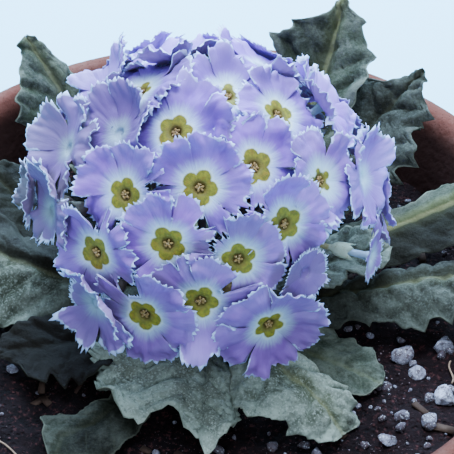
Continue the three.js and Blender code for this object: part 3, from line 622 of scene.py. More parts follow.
# A lobed leaf ends sooner beside its lobes: from its right edge (-1) to its left (1), the share reached.
LOBES = {
    "leaf_07": [
        (-1, 0.58), (-0.96, 0.64), (-0.79, 0.68), (-0.77, 0.74), (-0.67, 0.83), (-0.6, 0.82), (-0.53, 0.87),
        (-0.45, 0.83), (-0.43, 0.76), (-0.36, 0.77), (-0.28, 0.72), (-0.17, 0.74), (-0.12, 0.84),
        (-0.06, 0.85), (-0.04, 0.9), (0.06, 0.88), (0.17, 0.94), (0.29, 0.99), (0.44, 0.97), (0.55, 0.94),
        (0.58, 0.88), (0.77, 0.85), (0.86, 0.8), (0.9, 0.72), (1, 0.7),
    ],
    "leaf_08": [(-1, 1.16), (1, 1.16)],
}
# How mealy a leaf is, how much painted shade its left and its right half take, how deep and how many its
# teeth are, how far its rib shows and how crinkled it is.
HABITS = {
    "leaf_01": (0.35, 0.4, 0.36, 0.06, 13, 0.5, 1.3), "leaf_02": (0.4, 0.54, 0.44, 0.05, 13, 0.8, 2),
    "leaf_03": (0.6, 0.8, 0.76, 0.05, 12, 0.3, 2.4), "leaf_04": (0.35, 0.3, 0.86, 0.04, 12, 1.5, 0.8),
    "leaf_05": (0.7, 0.86, 0.7, 0.05, 14, 1, 1.8), "leaf_06": (0.9, 0.16, 0.16, 0.05, 10, 0.6, 1.8),
    "leaf_07": (1.4, 0, 0, 0.04, 14, 0.05, 1.6), "leaf_08": (0.3, 0.7, 0.6, 0.1, 9, 0.1, 0.7),
    "leaf_09": (0.75, 0.38, 0.92, 0.04, 14, 0.5, 1.5), "leaf_10": (0.1, 0.96, 0.96, 0.08, 12, 0.1, 0.8),
    "leaf_11": (0.1, 0.85, 0.85, 0.1, 9, 0.3, 1), "leaf_12": (0.5, 0.2, 0.2, 0.14, 7, 0.2, 1),
    "leaf_13": (0.7, 0.5, 0.5, 0.3, 6, 0.1, 1),
}
COMMON_HABIT = (0.35, 0.2, 0.2, 0.3, 6, 0.5, 1.3)
# The left half of leaf 5 lies flat beside the rib and then turns down: (fold, mm, fold further out).
KNEES = {"leaf_05": (-10, 5, -66)}
TIER_HEIGHTS = (108.6, 112.2, 115.8)
LEAF_FOOT = 10.3
FOOT_WIDTH = 6.4
TIP_FROM = 0.66
ROWS_TO_TIP = 0.6
MOST_WRINKLE = 3.4
WALK_STEPS = 24
LEAF_ROWS = 100
LEAF_COLUMNS = 20
VEIN_PITCH = 8.5
BLADE_HALF = 0.4
RIB_HALF = 0.9
TOOTH_PEAK = 0.62


def crowd_round(name, points, reach):
    """A tree of the frame's forms near some points, all but the one named."""
    low, high = points.min(0) - reach, points.max(0) + reach
    corners, faces = [], []
    for other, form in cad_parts.items():
        spots = np.empty(3 * len(form.data.vertices))
        form.data.vertices.foreach_get("co", spots)
        spots = spots.reshape(-1, 3) / MM
        if other != name and (spots.max(0) > low).all() and (spots.min(0) < high).all():
            faces += [[len(corners) + n for n in polygon.vertices] for polygon in form.data.polygons]
            corners += spots.tolist()
    return BVHTree.FromPolygons(corners, faces)


def room_along(tree, points, ways, most):
    """How far each point may move along its way before it comes near another form."""
    room = np.full(len(points), float(most))
    for n, (point, way) in enumerate(zip(points, ways)):
        depth = tree.ray_cast(Vector(point), Vector(way), 2.3 * most)[3]
        if depth is not None:
            room[n] = np.clip(0.45 * (depth - 0.5), 0, most)
    return room


def evened(grid, rounds, lowest=False):
    """A grid of values smoothed over its neighbours, or first spread to the lowest of them."""
    for n in range(rounds):
        wide = np.pad(grid, 1, "edge")
        sides = (wide[1:-1, :-2], wide[1:-1, 2:], wide[:-2, 1:-1], wide[2:, 1:-1])
        if lowest and n < 2:
            grid = np.minimum.reduce((grid, *sides))
        grid = 0.5 * grid + 0.125 * sum(sides)
    return grid


def held(wanted, above, below):
    """The wanted rise, eased off so that it stays within the room above and below."""
    limit = np.where(wanted > 0, above, below) + 1e-3
    return limit * np.tanh(wanted / limit)


def leaf_slope(rise, along):
    base, middle, tip = rise
    return np.where(
        along < 0.5, mix(base, middle, ease(along, 0, 0.5)), mix(middle, tip, ease(along, 0.5, 1))
    )


def toothed(along, rng, depth, count):
    """How far the edge stands out, as a share of the half width: large forward teeth with small ones."""
    large_sizes = np.array([rng.uniform(0.3, 1.3) for _ in range(count + 1)])
    small_sizes = np.array([rng.uniform(0.1, 1) for _ in range(4 * count + 1)])
    wave = lambda phase: np.where(phase < TOOTH_PEAK, phase / TOOTH_PEAK, (1 - phase) / (1 - TOOTH_PEAK))
    spot = along * (count - 0.2)
    large = (wave(spot % 1) - 0.5) * large_sizes[spot.astype(int)]
    small = (wave(3.7 * spot % 1) - 0.4) * small_sizes[(3.7 * spot).astype(int)]
    return ease(along, 0.16, 0.28) * (1.4 * depth * large + (0.03 + 0.25 * depth) * small)


def quads(rows, columns):
    """The faces of a grid of points."""
    return [
        (r * columns + c, (r + 1) * columns + c, (r + 1) * columns + c + 1, r * columns + c + 1)
        for r in range(rows - 1)
        for c in range(columns - 1)
    ]


def normals_of(middle, faces):
    """The upward direction of a sheet at each of its points."""
    faces = np.array(faces)
    corner = middle[faces]
    square = np.cross(corner[:, 2] - corner[:, 0], corner[:, 3] - corner[:, 1])
    normal = np.zeros_like(middle)
    for n in range(4):
        np.add.at(normal, faces[:, n], square)
    return normal / np.maximum(np.linalg.norm(normal, axis=1), 1e-9)[:, None]


def thickened(middle, above, below, faces):
    """A sheet of points made solid: two like faces, and a rim between."""
    normal = normals_of(middle, faces)
    points = np.concatenate([middle + normal * above[:, None], middle - normal * below[:, None]])
    count = len(middle)
    edges = {(face[n], face[(n + 1) % 4]) for face in faces for n in range(4)}
    rim = [(b, a, a + count, b + count) for a, b in edges if (b, a) not in edges]
    under = [tuple(count + n for n in face[::-1]) for face in faces]
    return points, faces + under + sorted(rim)


def make_leaf(name, bearing, length, width, tier, rise, fold, roll, wave):
    meal, left_shade, right_shade, depth, count, ribbed, crinkled = HABITS.get(name, COMMON_HABIT)
    rng = random.Random(name)
    seed = rng.uniform(0, 90)
    # Rows lie close together round the tip.
    share = np.linspace(0, 1, LEAF_ROWS)
    bend = np.clip((share - ROWS_TO_TIP) / (1 - ROWS_TO_TIP), 0, 1)
    tip = TIP_FROM + (1 - TIP_FROM) * np.sin(bend * 1.53)
    along = np.where(share < ROWS_TO_TIP, share / ROWS_TO_TIP * TIP_FROM, tip)
    across = np.linspace(-1, 1, 2 * LEAF_COLUMNS + 1)
    across = np.sign(across) * np.abs(across) ** 0.9
    on_left = across > 0

    # Everything from here on is a grid of rows along the rib and columns across it.
    s = along[:, None] * np.interp(across, *zip(*LOBES.get(name, [(-1, 1), (1, 1)])))
    steps = s[..., None] * np.arange(1, WALK_STEPS + 1) / WALK_STEPS
    slopes = np.radians(leaf_slope(np.array(rise, float), steps))
    heading = np.array((math.cos(math.radians(bearing)), math.sin(math.radians(bearing)), 0))
    side = np.array((-heading[1], heading[0], 0))
    up = np.array((0, 0, 1.0))
    stride = (s * length / WALK_STEPS)[..., None]
    spine = (
        heading * LEAF_FOOT + up * TIER_HEIGHTS[tier]
        + heading * (np.cos(slopes) * stride).sum(-1)[..., None]
        + up * (np.sin(slopes) * stride).sum(-1)[..., None]
    )
    end = slopes[..., -1:]
    flat_above = up * np.cos(end) - heading * np.sin(end)
    turn = np.radians(roll * ease(s, 0, 0.4))[..., None]
    left = side * np.cos(turn) + flat_above * np.sin(turn)
    above = flat_above * np.cos(turn) - side * np.sin(turn)

    teeth = [toothed(along, rng, depth, count)[:, None] for _ in range(2)]
    if name in OUTLINES:
        rib_line, left_edge, right_edge = (np.interp(s, *zip(*line)) for line in OUTLINES[name])
        edge = np.where(on_left, left_edge - rib_line, rib_line - right_edge)
    else:
        rib_line = np.zeros(s.shape)
        to_tip = np.maximum(0, (along - TIP_FROM) / (1 - TIP_FROM))
        blade = mix(FOOT_WIDTH, width, ease(along, 0.1, 0.58)) / 2 * np.sqrt(np.maximum(0, 1 - to_tip**2))
        edge = np.broadcast_to(blade[:, None], s.shape)
    a = across[None, :]
    edge = np.maximum(0, edge) * (1 + np.where(on_left, *teeth) * ease(abs(a), 0.5, 1))
    opening = ease(s, 0.05, 0.35)
    out = edge * abs(a)
    aside = rib_line + np.sign(a) * out
    near_fold, knee, far_fold = KNEES.get(name, (fold, width, fold))
    near_fold = np.radians(np.where(on_left, near_fold, fold) * opening)
    far_fold = np.radians(np.where(on_left, far_fold, fold) * opening)
    near, far = np.minimum(abs(aside), knee), np.maximum(0, abs(aside) - knee)
    ripple = 0.5 * wave * width * a * a * opening * np.sin(17 * s + np.where(a > 0, 0, 2))
    sideways = np.sign(aside) * (near * np.cos(near_fold) + far * np.cos(far_fold))
    upwards = near * np.sin(near_fold) + far * np.sin(far_fold) + ripple
    plain = spine + left * sideways[..., None] + above * upwards[..., None]

    # The side veins run forward and out, and the blade puckers up between them.
    line = (s * length - 0.75 * out + np.where(a > 0, 0.4 * VEIN_PITCH, 0)) / VEIN_PITCH
    near = np.abs(2 * (line % 1) - 1)
    wrinkles = np.zeros(out.shape)
    for index in np.ndindex(out.shape):
        spot = Vector((line[index] * 1.6, out[index] / 7 * np.sign(across[index[1]]), seed))
        edge_share = float(ease(abs(across[index[1]]), 0.6, 1))
        wrinkles[index] = (
            0.9 * noise.noise(spot) + 0.55 * noise.noise(spot * 2.6) + 0.25 * noise.noise(spot * 6)
            + edge_share * (1.8 * noise.noise(spot * 0.8 + Vector((0, 0, 9))) + 0.7 * noise.noise(spot * 2))
        )
    pucker = 1.0 * (1 - near**3) * ease(abs(a), 0.04, 0.25) - 0.6 * (1 - ease(out, 0.3, 2.4))
    wanted = crinkled * opening * (wrinkles + pucker * (1 - 0.5 * ease(s, 0.8, 1)))
    flat = plain.reshape(-1, 3)
    ways = above.reshape(-1, 3)
    tree = crowd_round(name, flat, 5)
    rooms = [room_along(tree, flat, way, MOST_WRINKLE).reshape(out.shape) for way in (ways, -ways)]
    lift = held(wanted, *(evened(room, 5, lowest=True) for room in rooms))
    middle = flat + ways * lift.reshape(-1)[:, None]
    rib_far = out.reshape(-1)
    rim_near = np.minimum(edge - out, (s.max(0) - s) * length).reshape(-1)
    faces = quads(LEAF_ROWS, len(across))
    narrowing = s.reshape(-1)
    on_rib = 1 - ease(rib_far, 0.4, 2.6 - 1.4 * narrowing)
    top = BLADE_HALF * (0.35 + 0.65 * ease(rim_near, 0, 1.5))
    below = top + (2 * RIB_HALF - BLADE_HALF) * on_rib * np.maximum(0, 1 - 0.8 * narrowing)
    points, faces = thickened(middle, top, below, faces)
    bumps = (wrinkles - 0.3 * near).reshape(-1)
    # Painted shade: each half of a leaf takes its own share, and the leaves that show darken towards the
    # crown.
    halves = ease(aside - rib_line, -1.5, 1.5)
    lit = 1 - 0.6 * (1 - ease(s, 0.25, 0.6)) * (name in OUTLINES)
    shadowed = 1 - (1 - mix(right_shade, left_shade, halves)) * lit
    given = {
        "rib": np.tile(rib_far, 2),
        "rim": np.tile(rim_near, 2),
        "vein": np.tile((near * ease(out, 0.5, 2) * opening).reshape(-1), 2),
        "bumps": np.tile(bumps, 2),
        "under": np.repeat([0, 1], len(middle)),
        "meal": np.full(2 * len(middle), meal),
        "dark": np.tile(shadowed.reshape(-1), 2),
        "ribbed": np.full(2 * len(middle), ribbed),
    }
    settle(make_piece("blade_" + name[-2:], points, faces, [leaf_skin], given), "leaf", name)


leaf = Finish("mealy_leaf", 0.65)
leaf.skin.inputs["Specular IOR Level"].default_value = 0.06
rib, rim, vein, meal, bumps = (leaf.given(key) for key in ("rib", "rim", "vein", "meal", "bumps"))
ribbed = leaf.given("ribbed")
mottle = leaf.cloud(60, 5)
broad = leaf.cloud(28, 3)
fine = leaf.cloud(1000, 4, roughness=0.8)
green = leaf.blend(leaf.between(mottle, 0.3, 0.7), "262c22", "3f4735")
green = leaf.blend(leaf.times(leaf.between(broad, 0.48, 0.7), 0.5), green, "4a5430")
# Painted shade in the hollows of the crinkles.
green = leaf.blend(leaf.between(bumps, -0.4, -1.2, 0, 0.6), green, "141812")
green = leaf.blend(leaf.times(leaf.between(vein, 0.88, 1), 0.4), green, "6c7054")
# The meal is a fine powder, thickest on the swellings and near the edge.
patchy = leaf.between(leaf.cloud(110, 5, roughness=0.65), 0.35, 0.65, 0, 0.3)
patchy = leaf.plus(patchy, leaf.between(bumps, -0.6, 1, 0, 0.25))
dusting = leaf.plus(leaf.times(meal, 0.55), patchy)
dusting = leaf.plus(dusting, leaf.between(rim, 0.5, 5, 0.12, 0))
grains = leaf.between(leaf.plus(leaf.times(fine, 0.9), dusting), 0.6, 1.5)
green = leaf.blend(leaf.times(grains, 0.75), green, "949684")
thick = leaf.between(meal, 0.4, 1)
powdered = leaf.between(leaf.cloud(110, 6, roughness=0.7), 0.42, 0.62, 0, 0.7)
powdered = leaf.plus(powdered, leaf.between(rim, 0.5, 7, 0.35, 0))
green = leaf.blend(leaf.times(thick, powdered), green, "b6c0ac")
speckle = leaf.times(thick, leaf.between(leaf.cloud(1500, 2), 0.52, 0.66, 0, 0.6))
green = leaf.blend(speckle, green, "c8cfbe")
green = leaf.blend(leaf.times(thick, leaf.between(vein, 0.84, 1, 0, 0.45)), green, "b8c8b0")
pits = leaf.times(thick, leaf.between(leaf.cloud(700, 3), 0.46, 0.34, 0, 0.4))
green = leaf.blend(pits, green, "2a3429")
beside = leaf.times(ribbed, leaf.between(rib, 0.7, 5, 0.4, 0))
green = leaf.blend(beside, green, "7c8050")
green = leaf.blend(leaf.times(ribbed, leaf.between(rib, 0.4, 1.3, 0.7, 0)), green, "a09c6c")
green = leaf.blend(leaf.between(rim, 0.1, 0.7, 0.5, 0), green, "a3a48c")
# Painted shade, down to near black where a leaf lies deep under the head.
green = leaf.blend(leaf.given("dark"), green, "140c0a")
green = leaf.blend(leaf.times(leaf.given("under"), 0.35), green, "5c604e")
wrinkled = leaf.dent(leaf.cloud(330, 4, roughness=0.65), 0.9, 0.8)
leaf_skin = leaf.wear(green, leaf.dent(fine, 0.25, under=wrinkled))
for row in LEAVES:
    make_leaf(*row)


# The flower stalks
# Three upright scapes rise from the crown. Each ends in a knob ringed with small bracts, where its
# pedicels meet, and each pedicel swells into a mealy calyx of five teeth that holds one bloom.
HEAD_CENTRE = Vector((0, 0, 148))
HEAD_RADIUS = 48.5
HEAD_SIDE_RADIUS = 51
BLOOMS = {
    "a": (-92, 38, -3, 0.8), "b": (-128, 46, 24, 0), "c": (-59, 34, 15, 0), "d": (-56, 55, 16, 0),
    "e": (-104, 57, 50, 0), "f": (-77, 62, 18, 0), "g": (-91, 76, -6, 0), "h": (-110, 84, -8, 0),
    "i": (-68, 89, -17, 0), "j": (-131, 68, 0, 0), "k": (-128, 87, 30, 0), "l": (-118, 20, 20, 0),
    "m": (170, 22, 10, 0), "n": (-156, 32, 40, 0), "o": (-14, 8, 8, 0), "p": (-14, 26, 30, 0),
    "q": (-31, 50, 0, 0), "r": (-158, 68, 20, 0), "s": (-172, 51, 50, 0), "t": (152, 43, 5, 0),
    "u": (112, 27, 60, 0), "v": (51, 31, 25, 0), "w": (17, 46, 48, 0), "x": (-8, 65, 12, 0),
    "y": (-18, 91, 40, 0), "z": (-52, 75, 8, -1.5), "back_a": (118, 55, 20, 0), "back_b": (88, 52, 45, 0),
    "back_c": (60, 53, 10, 0), "back_d": (34, 70, 33, 0), "back_e": (10, 88, 5, 0),
    "back_f": (60, 78, 50, 0), "back_g": (84, 78, 15, 0), "back_h": (108, 79, 40, 0),
    "back_i": (133, 73, 8, 0), "back_j": (158, 76, 30, 0), "back_k": (-178, 80, 55, 0),
}
STALK_BEARINGS = (-90, 30, 150)
SCAPE_FOOT = (4.2, 119.3)
KNOB_PLACE = (14, 144)
KNOB_RADIUS = 5
CALYX_FOOT = 12
CALYX_TOP = 6.2
CALYX_TOOTH = 1.5
CALYX_SIDES = 20
PEDICEL_RADIUS = 0.8
SCAPE_RADIUS = 2.45
SCAPE_SIDES = 16
STALK_SEED = 11
BRACTS = 9
BRACT_LENGTH = 7


def seat_of(bearing, tilt, turn, lift):
    """The eye of a bloom, the axis that it faces along and two directions across its face."""
    b, t = math.radians(bearing), math.radians(tilt)
    spoke = Vector((math.sin(t) * math.cos(b), math.sin(t) * math.sin(b), math.cos(t)))
    side = Vector((0, 0, 1)).cross(spoke).normalized()
    reach = mix(HEAD_RADIUS, HEAD_SIDE_RADIUS, spoke.x**2) + lift
    nod = math.radians(10 * min(1, tilt / 20) * float(1 - ease(tilt, 60, 80)))
    axis = Matrix.Rotation(nod, 3, side) @ spoke
    right = Matrix.Rotation(math.radians(turn), 3, axis) @ side
    return HEAD_CENTRE + spoke * reach, axis, right, axis.cross(right)


def bow(start, pull, end, share):
    """A place on a smooth bow from start to end, pulled towards one point."""
    return mix(mix(start, pull, share), mix(pull, end, share), share)


def hoop(centre, axis, start, radii):
    """A ring of points round a centre, square to an axis, with a radius for each."""
    across = axis.cross(start).normalized()
    along = across.cross(axis)
    turns = np.linspace(0, 2 * math.pi, len(radii), endpoint=False)
    return [centre + (along * math.cos(t) + across * math.sin(t)) * r for t, r in zip(turns, radii)]


class Stems(Heap):
    """A heap of stems, each a run of hoops with closed ends."""

    def add_stem(self, hoops, tone):
        sides = len(hoops[0])
        last = (len(hoops) - 1) * sides
        ends = [tuple(range(sides - 1, -1, -1)), tuple(range(last, last + sides))]
        points = [p for ring in hoops for p in ring]
        self.add(points, ring_faces(len(hoops), sides) + ends, np.repeat(tone, sides))


def add_calyx(stems, eye, axis, right, knob):
    """A pedicel from the knob, widening into the cup of the calyx, whose teeth stand round the tube."""
    place = lambda depth: eye - axis * depth
    foot = place(CALYX_FOOT)
    start = knob + (foot - knob).normalized() * KNOB_RADIUS * 0.7
    hoops, tones = [], []
    for share in np.linspace(0, 0.94, 9):
        here = bow(start, place(CALYX_FOOT + 9), foot, share)
        ahead = bow(start, place(CALYX_FOOT + 9), foot, share + 0.05) - here
        hoops.append(hoop(here, ahead.normalized(), right, [PEDICEL_RADIUS] * CALYX_SIDES))
        tones.append(0.2 + 0.2 * share)
    turns = np.linspace(0, 2 * math.pi, CALYX_SIDES, endpoint=False)
    tooth = np.abs((turns / (2 * math.pi) * 5) % 1 - 0.5) * 2
    rib = 1 + 0.05 * np.cos(turns * 5)
    rows = [(12, 1.0, 0), (11.4, 1.55, 0), (10.4, 2.05, 0), (9, 2.3, 0), (7.6, 2.35, 0), (CALYX_TOP, 2.45, 1)]
    rows += [(CALYX_TOP + 0.1, 2.2, 1), (7.8, 1.9, 0), (9.2, 1.6, 0)]
    for depth, radius, pointed in rows:
        ring = hoop(place(depth), axis, right, radius * rib)
        lean = pointed * CALYX_TOOTH * (tooth - 0.35)
        hoops.append([p + axis * rise for p, rise in zip(ring, lean)])
        tones.append(0.9 if depth > 6.5 else 1)
    stems.add_stem(hoops, tones)


def add_bract(stems, knob, up, bearing, rng):
    """A small pointed leaf under the pedicels, spreading out from the knob."""
    out = Vector((math.cos(bearing), math.sin(bearing), 0))
    out = (out - up * out.dot(up)).normalized()
    side = up.cross(out)
    length = BRACT_LENGTH * rng.uniform(0.8, 1.15)
    middle = []
    for share in np.linspace(0, 1, 7):
        width = 1.5 * math.sqrt(share + 0.15) * (1 - share) + 0.08
        rise = 2.6 * math.sin(2 * share) - 0.5
        spot = knob + out * (KNOB_RADIUS * 0.8 + length * share * 0.8) + up * rise
        middle += [spot + side * width * a - up * abs(a) * -0.25 for a in (-1, -0.5, 0, 0.5, 1)]
    half = np.full(len(middle), 0.25)
    points, faces = thickened(np.array(middle), half, half, quads(7, 5))
    stems.add(points, faces, 0.5)


stalk = Finish("mealy_stalk", 0.7)
powder = stalk.cloud(1100, 3, roughness=0.7)
tone = stalk.given("tone")
sap = stalk.blend(stalk.cloud(90), "9f9c5a", "c2b87b")
dusted = stalk.between(stalk.plus(powder, stalk.times(tone, 0.5)), 0.68, 0.95)
sap = stalk.blend(dusted, sap, "dcecce")
# Painted shade on the stalks inside the head.
stalk_skin = stalk.wear(stalk.blend(stalk.given("stalk_shade"), sap, "74645c"), stalk.dent(powder, 0.15))
rng = random.Random(STALK_SEED)
for n, stalk_bearing in enumerate(STALK_BEARINGS):
    turn = math.radians(stalk_bearing)
    knob = Vector((KNOB_PLACE[0] * math.cos(turn), KNOB_PLACE[0] * math.sin(turn), KNOB_PLACE[1]))
    foot = Vector((SCAPE_FOOT[0] * math.cos(turn), SCAPE_FOOT[0] * math.sin(turn), SCAPE_FOOT[1]))
    pull = Vector((foot.x, foot.y, mix(foot.z, knob.z, 0.6)))
    stems = Stems()
    hoops = []
    for share in np.linspace(0, 0.97, 16):
        here = bow(foot, pull, knob, share)
        ahead = (bow(foot, pull, knob, share + 0.03) - here).normalized()
        ribbed = [SCAPE_RADIUS + 0.12 * math.cos(7 * side) for side in range(SCAPE_SIDES)]
        hoops.append(hoop(here, ahead, Vector((1, 0, 0)), ribbed))
    stems.add_stem(hoops, np.full(len(hoops), 0.15))
    up = (knob - pull).normalized()
    knob_ball, knob_faces = ball(3)
    lumpy = [p * KNOB_RADIUS * (1 + 0.08 * noise.noise(Vector(p) * 3)) for p in knob_ball]
    stems.add([Vector(p) + knob for p in lumpy], knob_faces, 0.3)
    for bract in range(BRACTS):
        add_bract(stems, knob, up, 2 * math.pi * (bract + rng.uniform(-0.2, 0.2)) / BRACTS, rng)
    for seat in BLOOMS.values():
        away = abs(seat[0] - stalk_bearing) % 360
        if min(away, 360 - away) < 60:
            eye, axis, right, _ = seat_of(*seat)
            add_calyx(stems, eye, axis, right, knob)
    spokes = np.array(stems.points) - np.array(HEAD_CENTRE)
    # Painted shade darkens the stalks inside the head; at its right, where the light reaches them, they stay
    # pale.
    to_right = ease(spokes[:, 0], 25, 36)
    outwards = ease(np.linalg.norm(spokes, axis=1), 40, 48)
    given = {"tone": stems.tones, "stalk_shade": (1 - 0.7 * to_right) * (1 - 0.5 * outwards)}
    piece = make_piece(f"scape_{n + 1}", stems.points, stems.faces, [stalk_skin], given)
    settle(piece, "stalk", f"flower_stalk_{n + 1}")


# The blooms
# Each bloom is one thin corolla: five petals grown together round the eye and into a narrow tube, which
# stands in its calyx. The petals are creased, frilled and toothed, with a white meal round the eye.
PETALS = 5
PETAL_TURN = 72
PETAL_COLUMNS = 39
FUSED_ROWS = 5
FREE_ROWS = 12
THROAT = 1.5
SLIT = 6.15
PETAL_HALF = 0.14
FORM_HALF = 0.35
PROBE_FROM = 15
NEAR_BLOOMS = 16
SMOOTHING = 16
TOOTH_EVERY = 3
BLOOM_SEED = 3
# Where the petals part and show the dark inside of the head, as (x, y, z, radius).
HOLLOWS = [
    (-13.9, -28.6, 185.3, 1.3), (12, -31.6, 183.5, 1.4), (15.1, -32.7, 181.2, 1.5), (10.1, -34.1, 181.7, 1.1),
    (-24, -32.6, 175.5, 1.6), (-0.1, -37.5, 179.6, 2.1), (-28.9, -30.9, 172.8, 0.7),
    (-28.6, -32.2, 171.3, 0.9), (3.7, -38.9, 177.5, 1.1), (5.9, -38.9, 177.2, 0.8), (2.4, -40.1, 176, 1.2),
    (2.6, -41.5, 173.9, 1.3), (23.2, -37.6, 169.2, 0.7), (-22.8, -41.1, 161.8, 1.6), (-20.3, -43, 160, 2.6),
    (-18, -44.4, 158.3, 1.6), (7.3, -45.6, 164.5, 0.9), (5.1, -46.3, 163.2, 1.2), (3.7, -46.7, 162.4, 0.8),
    (-6.2, -48.4, 143.4, 0.9), (-5.9, -47.7, 138.7, 1.2), (-4.6, -46.9, 134.7, 1.3),
    (-19.1, -43.5, 136, 1.2), (-47.3, -9.7, 156.5, 1.3), (-41.2, -19.2, 166.3, 0.9),
    (-7.3, -43.4, 169.6, 0.6), (-21.8, -29.5, 180.5, 0.7), (38.7, -26.4, 162.2, 1.5),
]
# How far the petals nearest the camera, and those furthest from it, stand up. None passes the ceiling.
RAISED = {
    "f": (0, 2), "g": (0, 3.5), "h": (0, 2.5), "i": (2, 1), "j": (0, 2), "k": (6, 2), "l": (2.5, 6),
    "m": (0, 4), "n": (5, 3), "o": (2, 3), "p": (1.5, 2), "q": (0.5, 3), "r": (3, 6), "s": (2, 6),
    "t": (0, 8), "u": (0, 8), "v": (-1, 8), "w": (0, 8), "x": (0, 7), "y": (0, 4), "z": (4, 0),
    "back_a": (-2, 8), "back_b": (-2, 8), "back_c": (-2, 8), "back_d": (0, 6), "back_e": (0, 5),
    "back_i": (0, 5), "back_j": (0, 6), "back_k": (0, 6),
}
CEILING = 207.6
# The share of its length that each petal of some blooms reaches.
SMALL_BLOOMS = {
    "d": (1, 1, 0.96, 0.9, 1), "k": (1, 1, 0.6, 0.9, 1), "l": [1.16] * 5, "m": [1.12] * 5,
    "q": (1, 1, 0.84, 0.82, 1), "r": (1, 1, 1, 0.85, 0.6), "u": [1.12] * 5,
    "y": (0.85, 0.65, 0.45, 0.45, 0.55), "z": (0.5, 0.5, 0.6, 0.75, 0.55), "back_k": (1, 1, 1, 0.55, 0.55),
}
# How much smaller the stars of some blooms are. Half shut blooms show neither a star nor anthers, and less
# of the meal round the eye. DIM gives some blooms painted shade; the low front blooms take it as well.
SMALL_STARS = {"i": 0.5, "m": 0.9, "o": 0.8, "p": 0.2, "q": 1.1}
SHUT = [*"knrstuvwxyz", "back_k"]
SHUT_MEAL = 2.6
LESS_MEAL = {"z": 6.6}
DIM = {
    "j": 0.6, "k": 1.2, "m": 0.8, "n": 1.5, "r": 2, "s": 1.6, "t": 0.8, "z": 1.5, "back_j": 2, "back_k": 2.5,
}
EDGE_SHAPE = [(0, 0.95), (0.14, 0.975), (0.38, 1), (0.66, 0.99), (0.86, 0.95), (1, 0.86)]
SEAM_GAPS = (-10, -8, -6, -5, -4, -2, 0.8, 3.5)
SEAM_LIFT = 0.42
PITCHES = (-3.2, -1.5, 0.5, 2.5, 4.5)
MOST_RUFFLE = 9
TO_CAMERA = (0, -0.737, 0.676)
STAR_LOBE = (2.95, 2.15)
STAR_CORE = 3.6
TUBE_SIDES = 18
TUBE = [(1.85, -0.42), (1.4, -1.2), (1.15, -2.2), (1.05, -5), (0.95, -8.6), (0.02, -8.7)]
CUP = [(0.02, -0.95), (0.8, -0.9), (1.2, -0.7), (1.5, -0.35), (1.75, -0.25)]
ANTHER = (0.5, 0.36, 0.45)
GRAINS = 12


def form_tree(node):
    """A tree of one form of the frame, in mm."""
    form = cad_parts[node].data
    return BVHTree.FromPolygons([v.co / MM for v in form.vertices], [p.vertices for p in form.polygons])


def height_over(place, axis, own):
    """How high a bloom's form in the frame stands over a place of its flat face, or None past its edge."""
    depth = own.ray_cast(place + axis * PROBE_FROM, -axis, 2 * PROBE_FROM)[3]
    return None if depth is None else PROBE_FROM - depth - FORM_HALF


def face_heights(seat, own, x, y):
    """The form's height over a grid of places. Past its edge it is that of the nearest place further in."""
    eye, axis, right, up = seat
    heights = np.zeros(x.shape)
    for index in np.ndindex(x.shape):
        spot_x, spot_y = x[index], y[index]
        for _ in range(20):
            height = height_over(eye + right * spot_x + up * spot_y, axis, own)
            if height is not None:
                heights[index] = height
                break
            spot_x, spot_y = spot_x * 0.97, spot_y * 0.97
    return heights


def petal_reaches(seat, node):
    """The reach of each petal in the frame."""
    eye, _, right, up = seat
    reaches = np.zeros(PETALS)
    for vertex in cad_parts[node].data.vertices:
        away = vertex.co / MM - eye
        x, y = away.dot(right), away.dot(up)
        petal = round(math.atan2(y, x) / (2 * math.pi) * PETALS) % PETALS
        reaches[petal] = max(reaches[petal], math.hypot(x, y))
    return reaches


def petal_evened(height, rounds, lowest=False):
    """Heights smoothed over each petal, and over the seams where the petals are fused."""
    fused = slice(0, FUSED_ROWS + 1)
    for n in range(rounds):
        left, right = height[:, :, 1:2].copy(), height[:, :, -2:-1].copy()
        left[:, fused] = np.roll(height, 1, 0)[:, fused, -2:-1]
        right[:, fused] = np.roll(height, -1, 0)[:, fused, 1:2]
        wide = np.concatenate([left, height, right], 2)
        tall = np.concatenate([height[:, :1], height, 2 * height[:, -1:] - height[:, -2:-1]], 1)
        sides = (wide[:, :, 2:], wide[:, :, :-2], tall[:, 2:], tall[:, :-2])
        if lowest and n < 2:
            height = np.minimum.reduce((height, *sides[:3]))
        height = 0.5 * height + 0.125 * sum(sides)
    return height


def clear_of_hollows(seat, edge, bearings):
    """The edge of a petal, cut back along each bearing where it would cover a hollow."""
    eye, _, right, up = (np.array(v) for v in seat)
    shares = np.linspace(0, 1, 25)[1:, None]
    wobble = 1 + 0.6 * np.array([noise.noise(Vector((9 * turn, 3.3, eye[0]))) for turn in bearings])
    reach = mix(SLIT, edge, shares)
    spots = reach[..., None] * (np.cos(bearings)[:, None] * right + np.sin(bearings)[:, None] * up)
    spokes = spots + eye - np.array(HEAD_CENTRE)
    spokes /= np.linalg.norm(spokes, axis=-1)[..., None]
    covered = np.zeros(reach.shape, bool)
    for *place, size in HOLLOWS:
        away = np.array(place) - np.array(HEAD_CENTRE)
        far = np.linalg.norm(away)
        covered |= spokes @ (away / far) > np.cos(size * wobble / far)
    return np.where(covered.any(0), reach[covered.argmax(0), np.arange(len(edge))], edge)


def short_of_others(seat, edge, bearings, own, others):
    """The edge of a petal, cut back along each bearing where it would run through another bloom."""
    eye, axis, right, up = seat
    edge = edge.copy()
    for n, turn in enumerate(bearings):
        way = right * math.cos(turn) + up * math.sin(turn)
        rise, last, reached = 0, None, SLIT
        for share in np.linspace(0, 1.1, 14):
            reach = SLIT + (edge[n] - SLIT) * share
            height = height_over(eye + way * reach, axis, own)
            rise = rise if height is None else height
            spot = eye + way * reach + axis * rise
            step = spot - last if last else None
            if last and others.ray_cast(last, step.normalized(), step.length)[3] is not None:
                edge[n] = max(SLIT + 1, reached - 0.5)
                break
            last, reached = spot, reach
    return edge


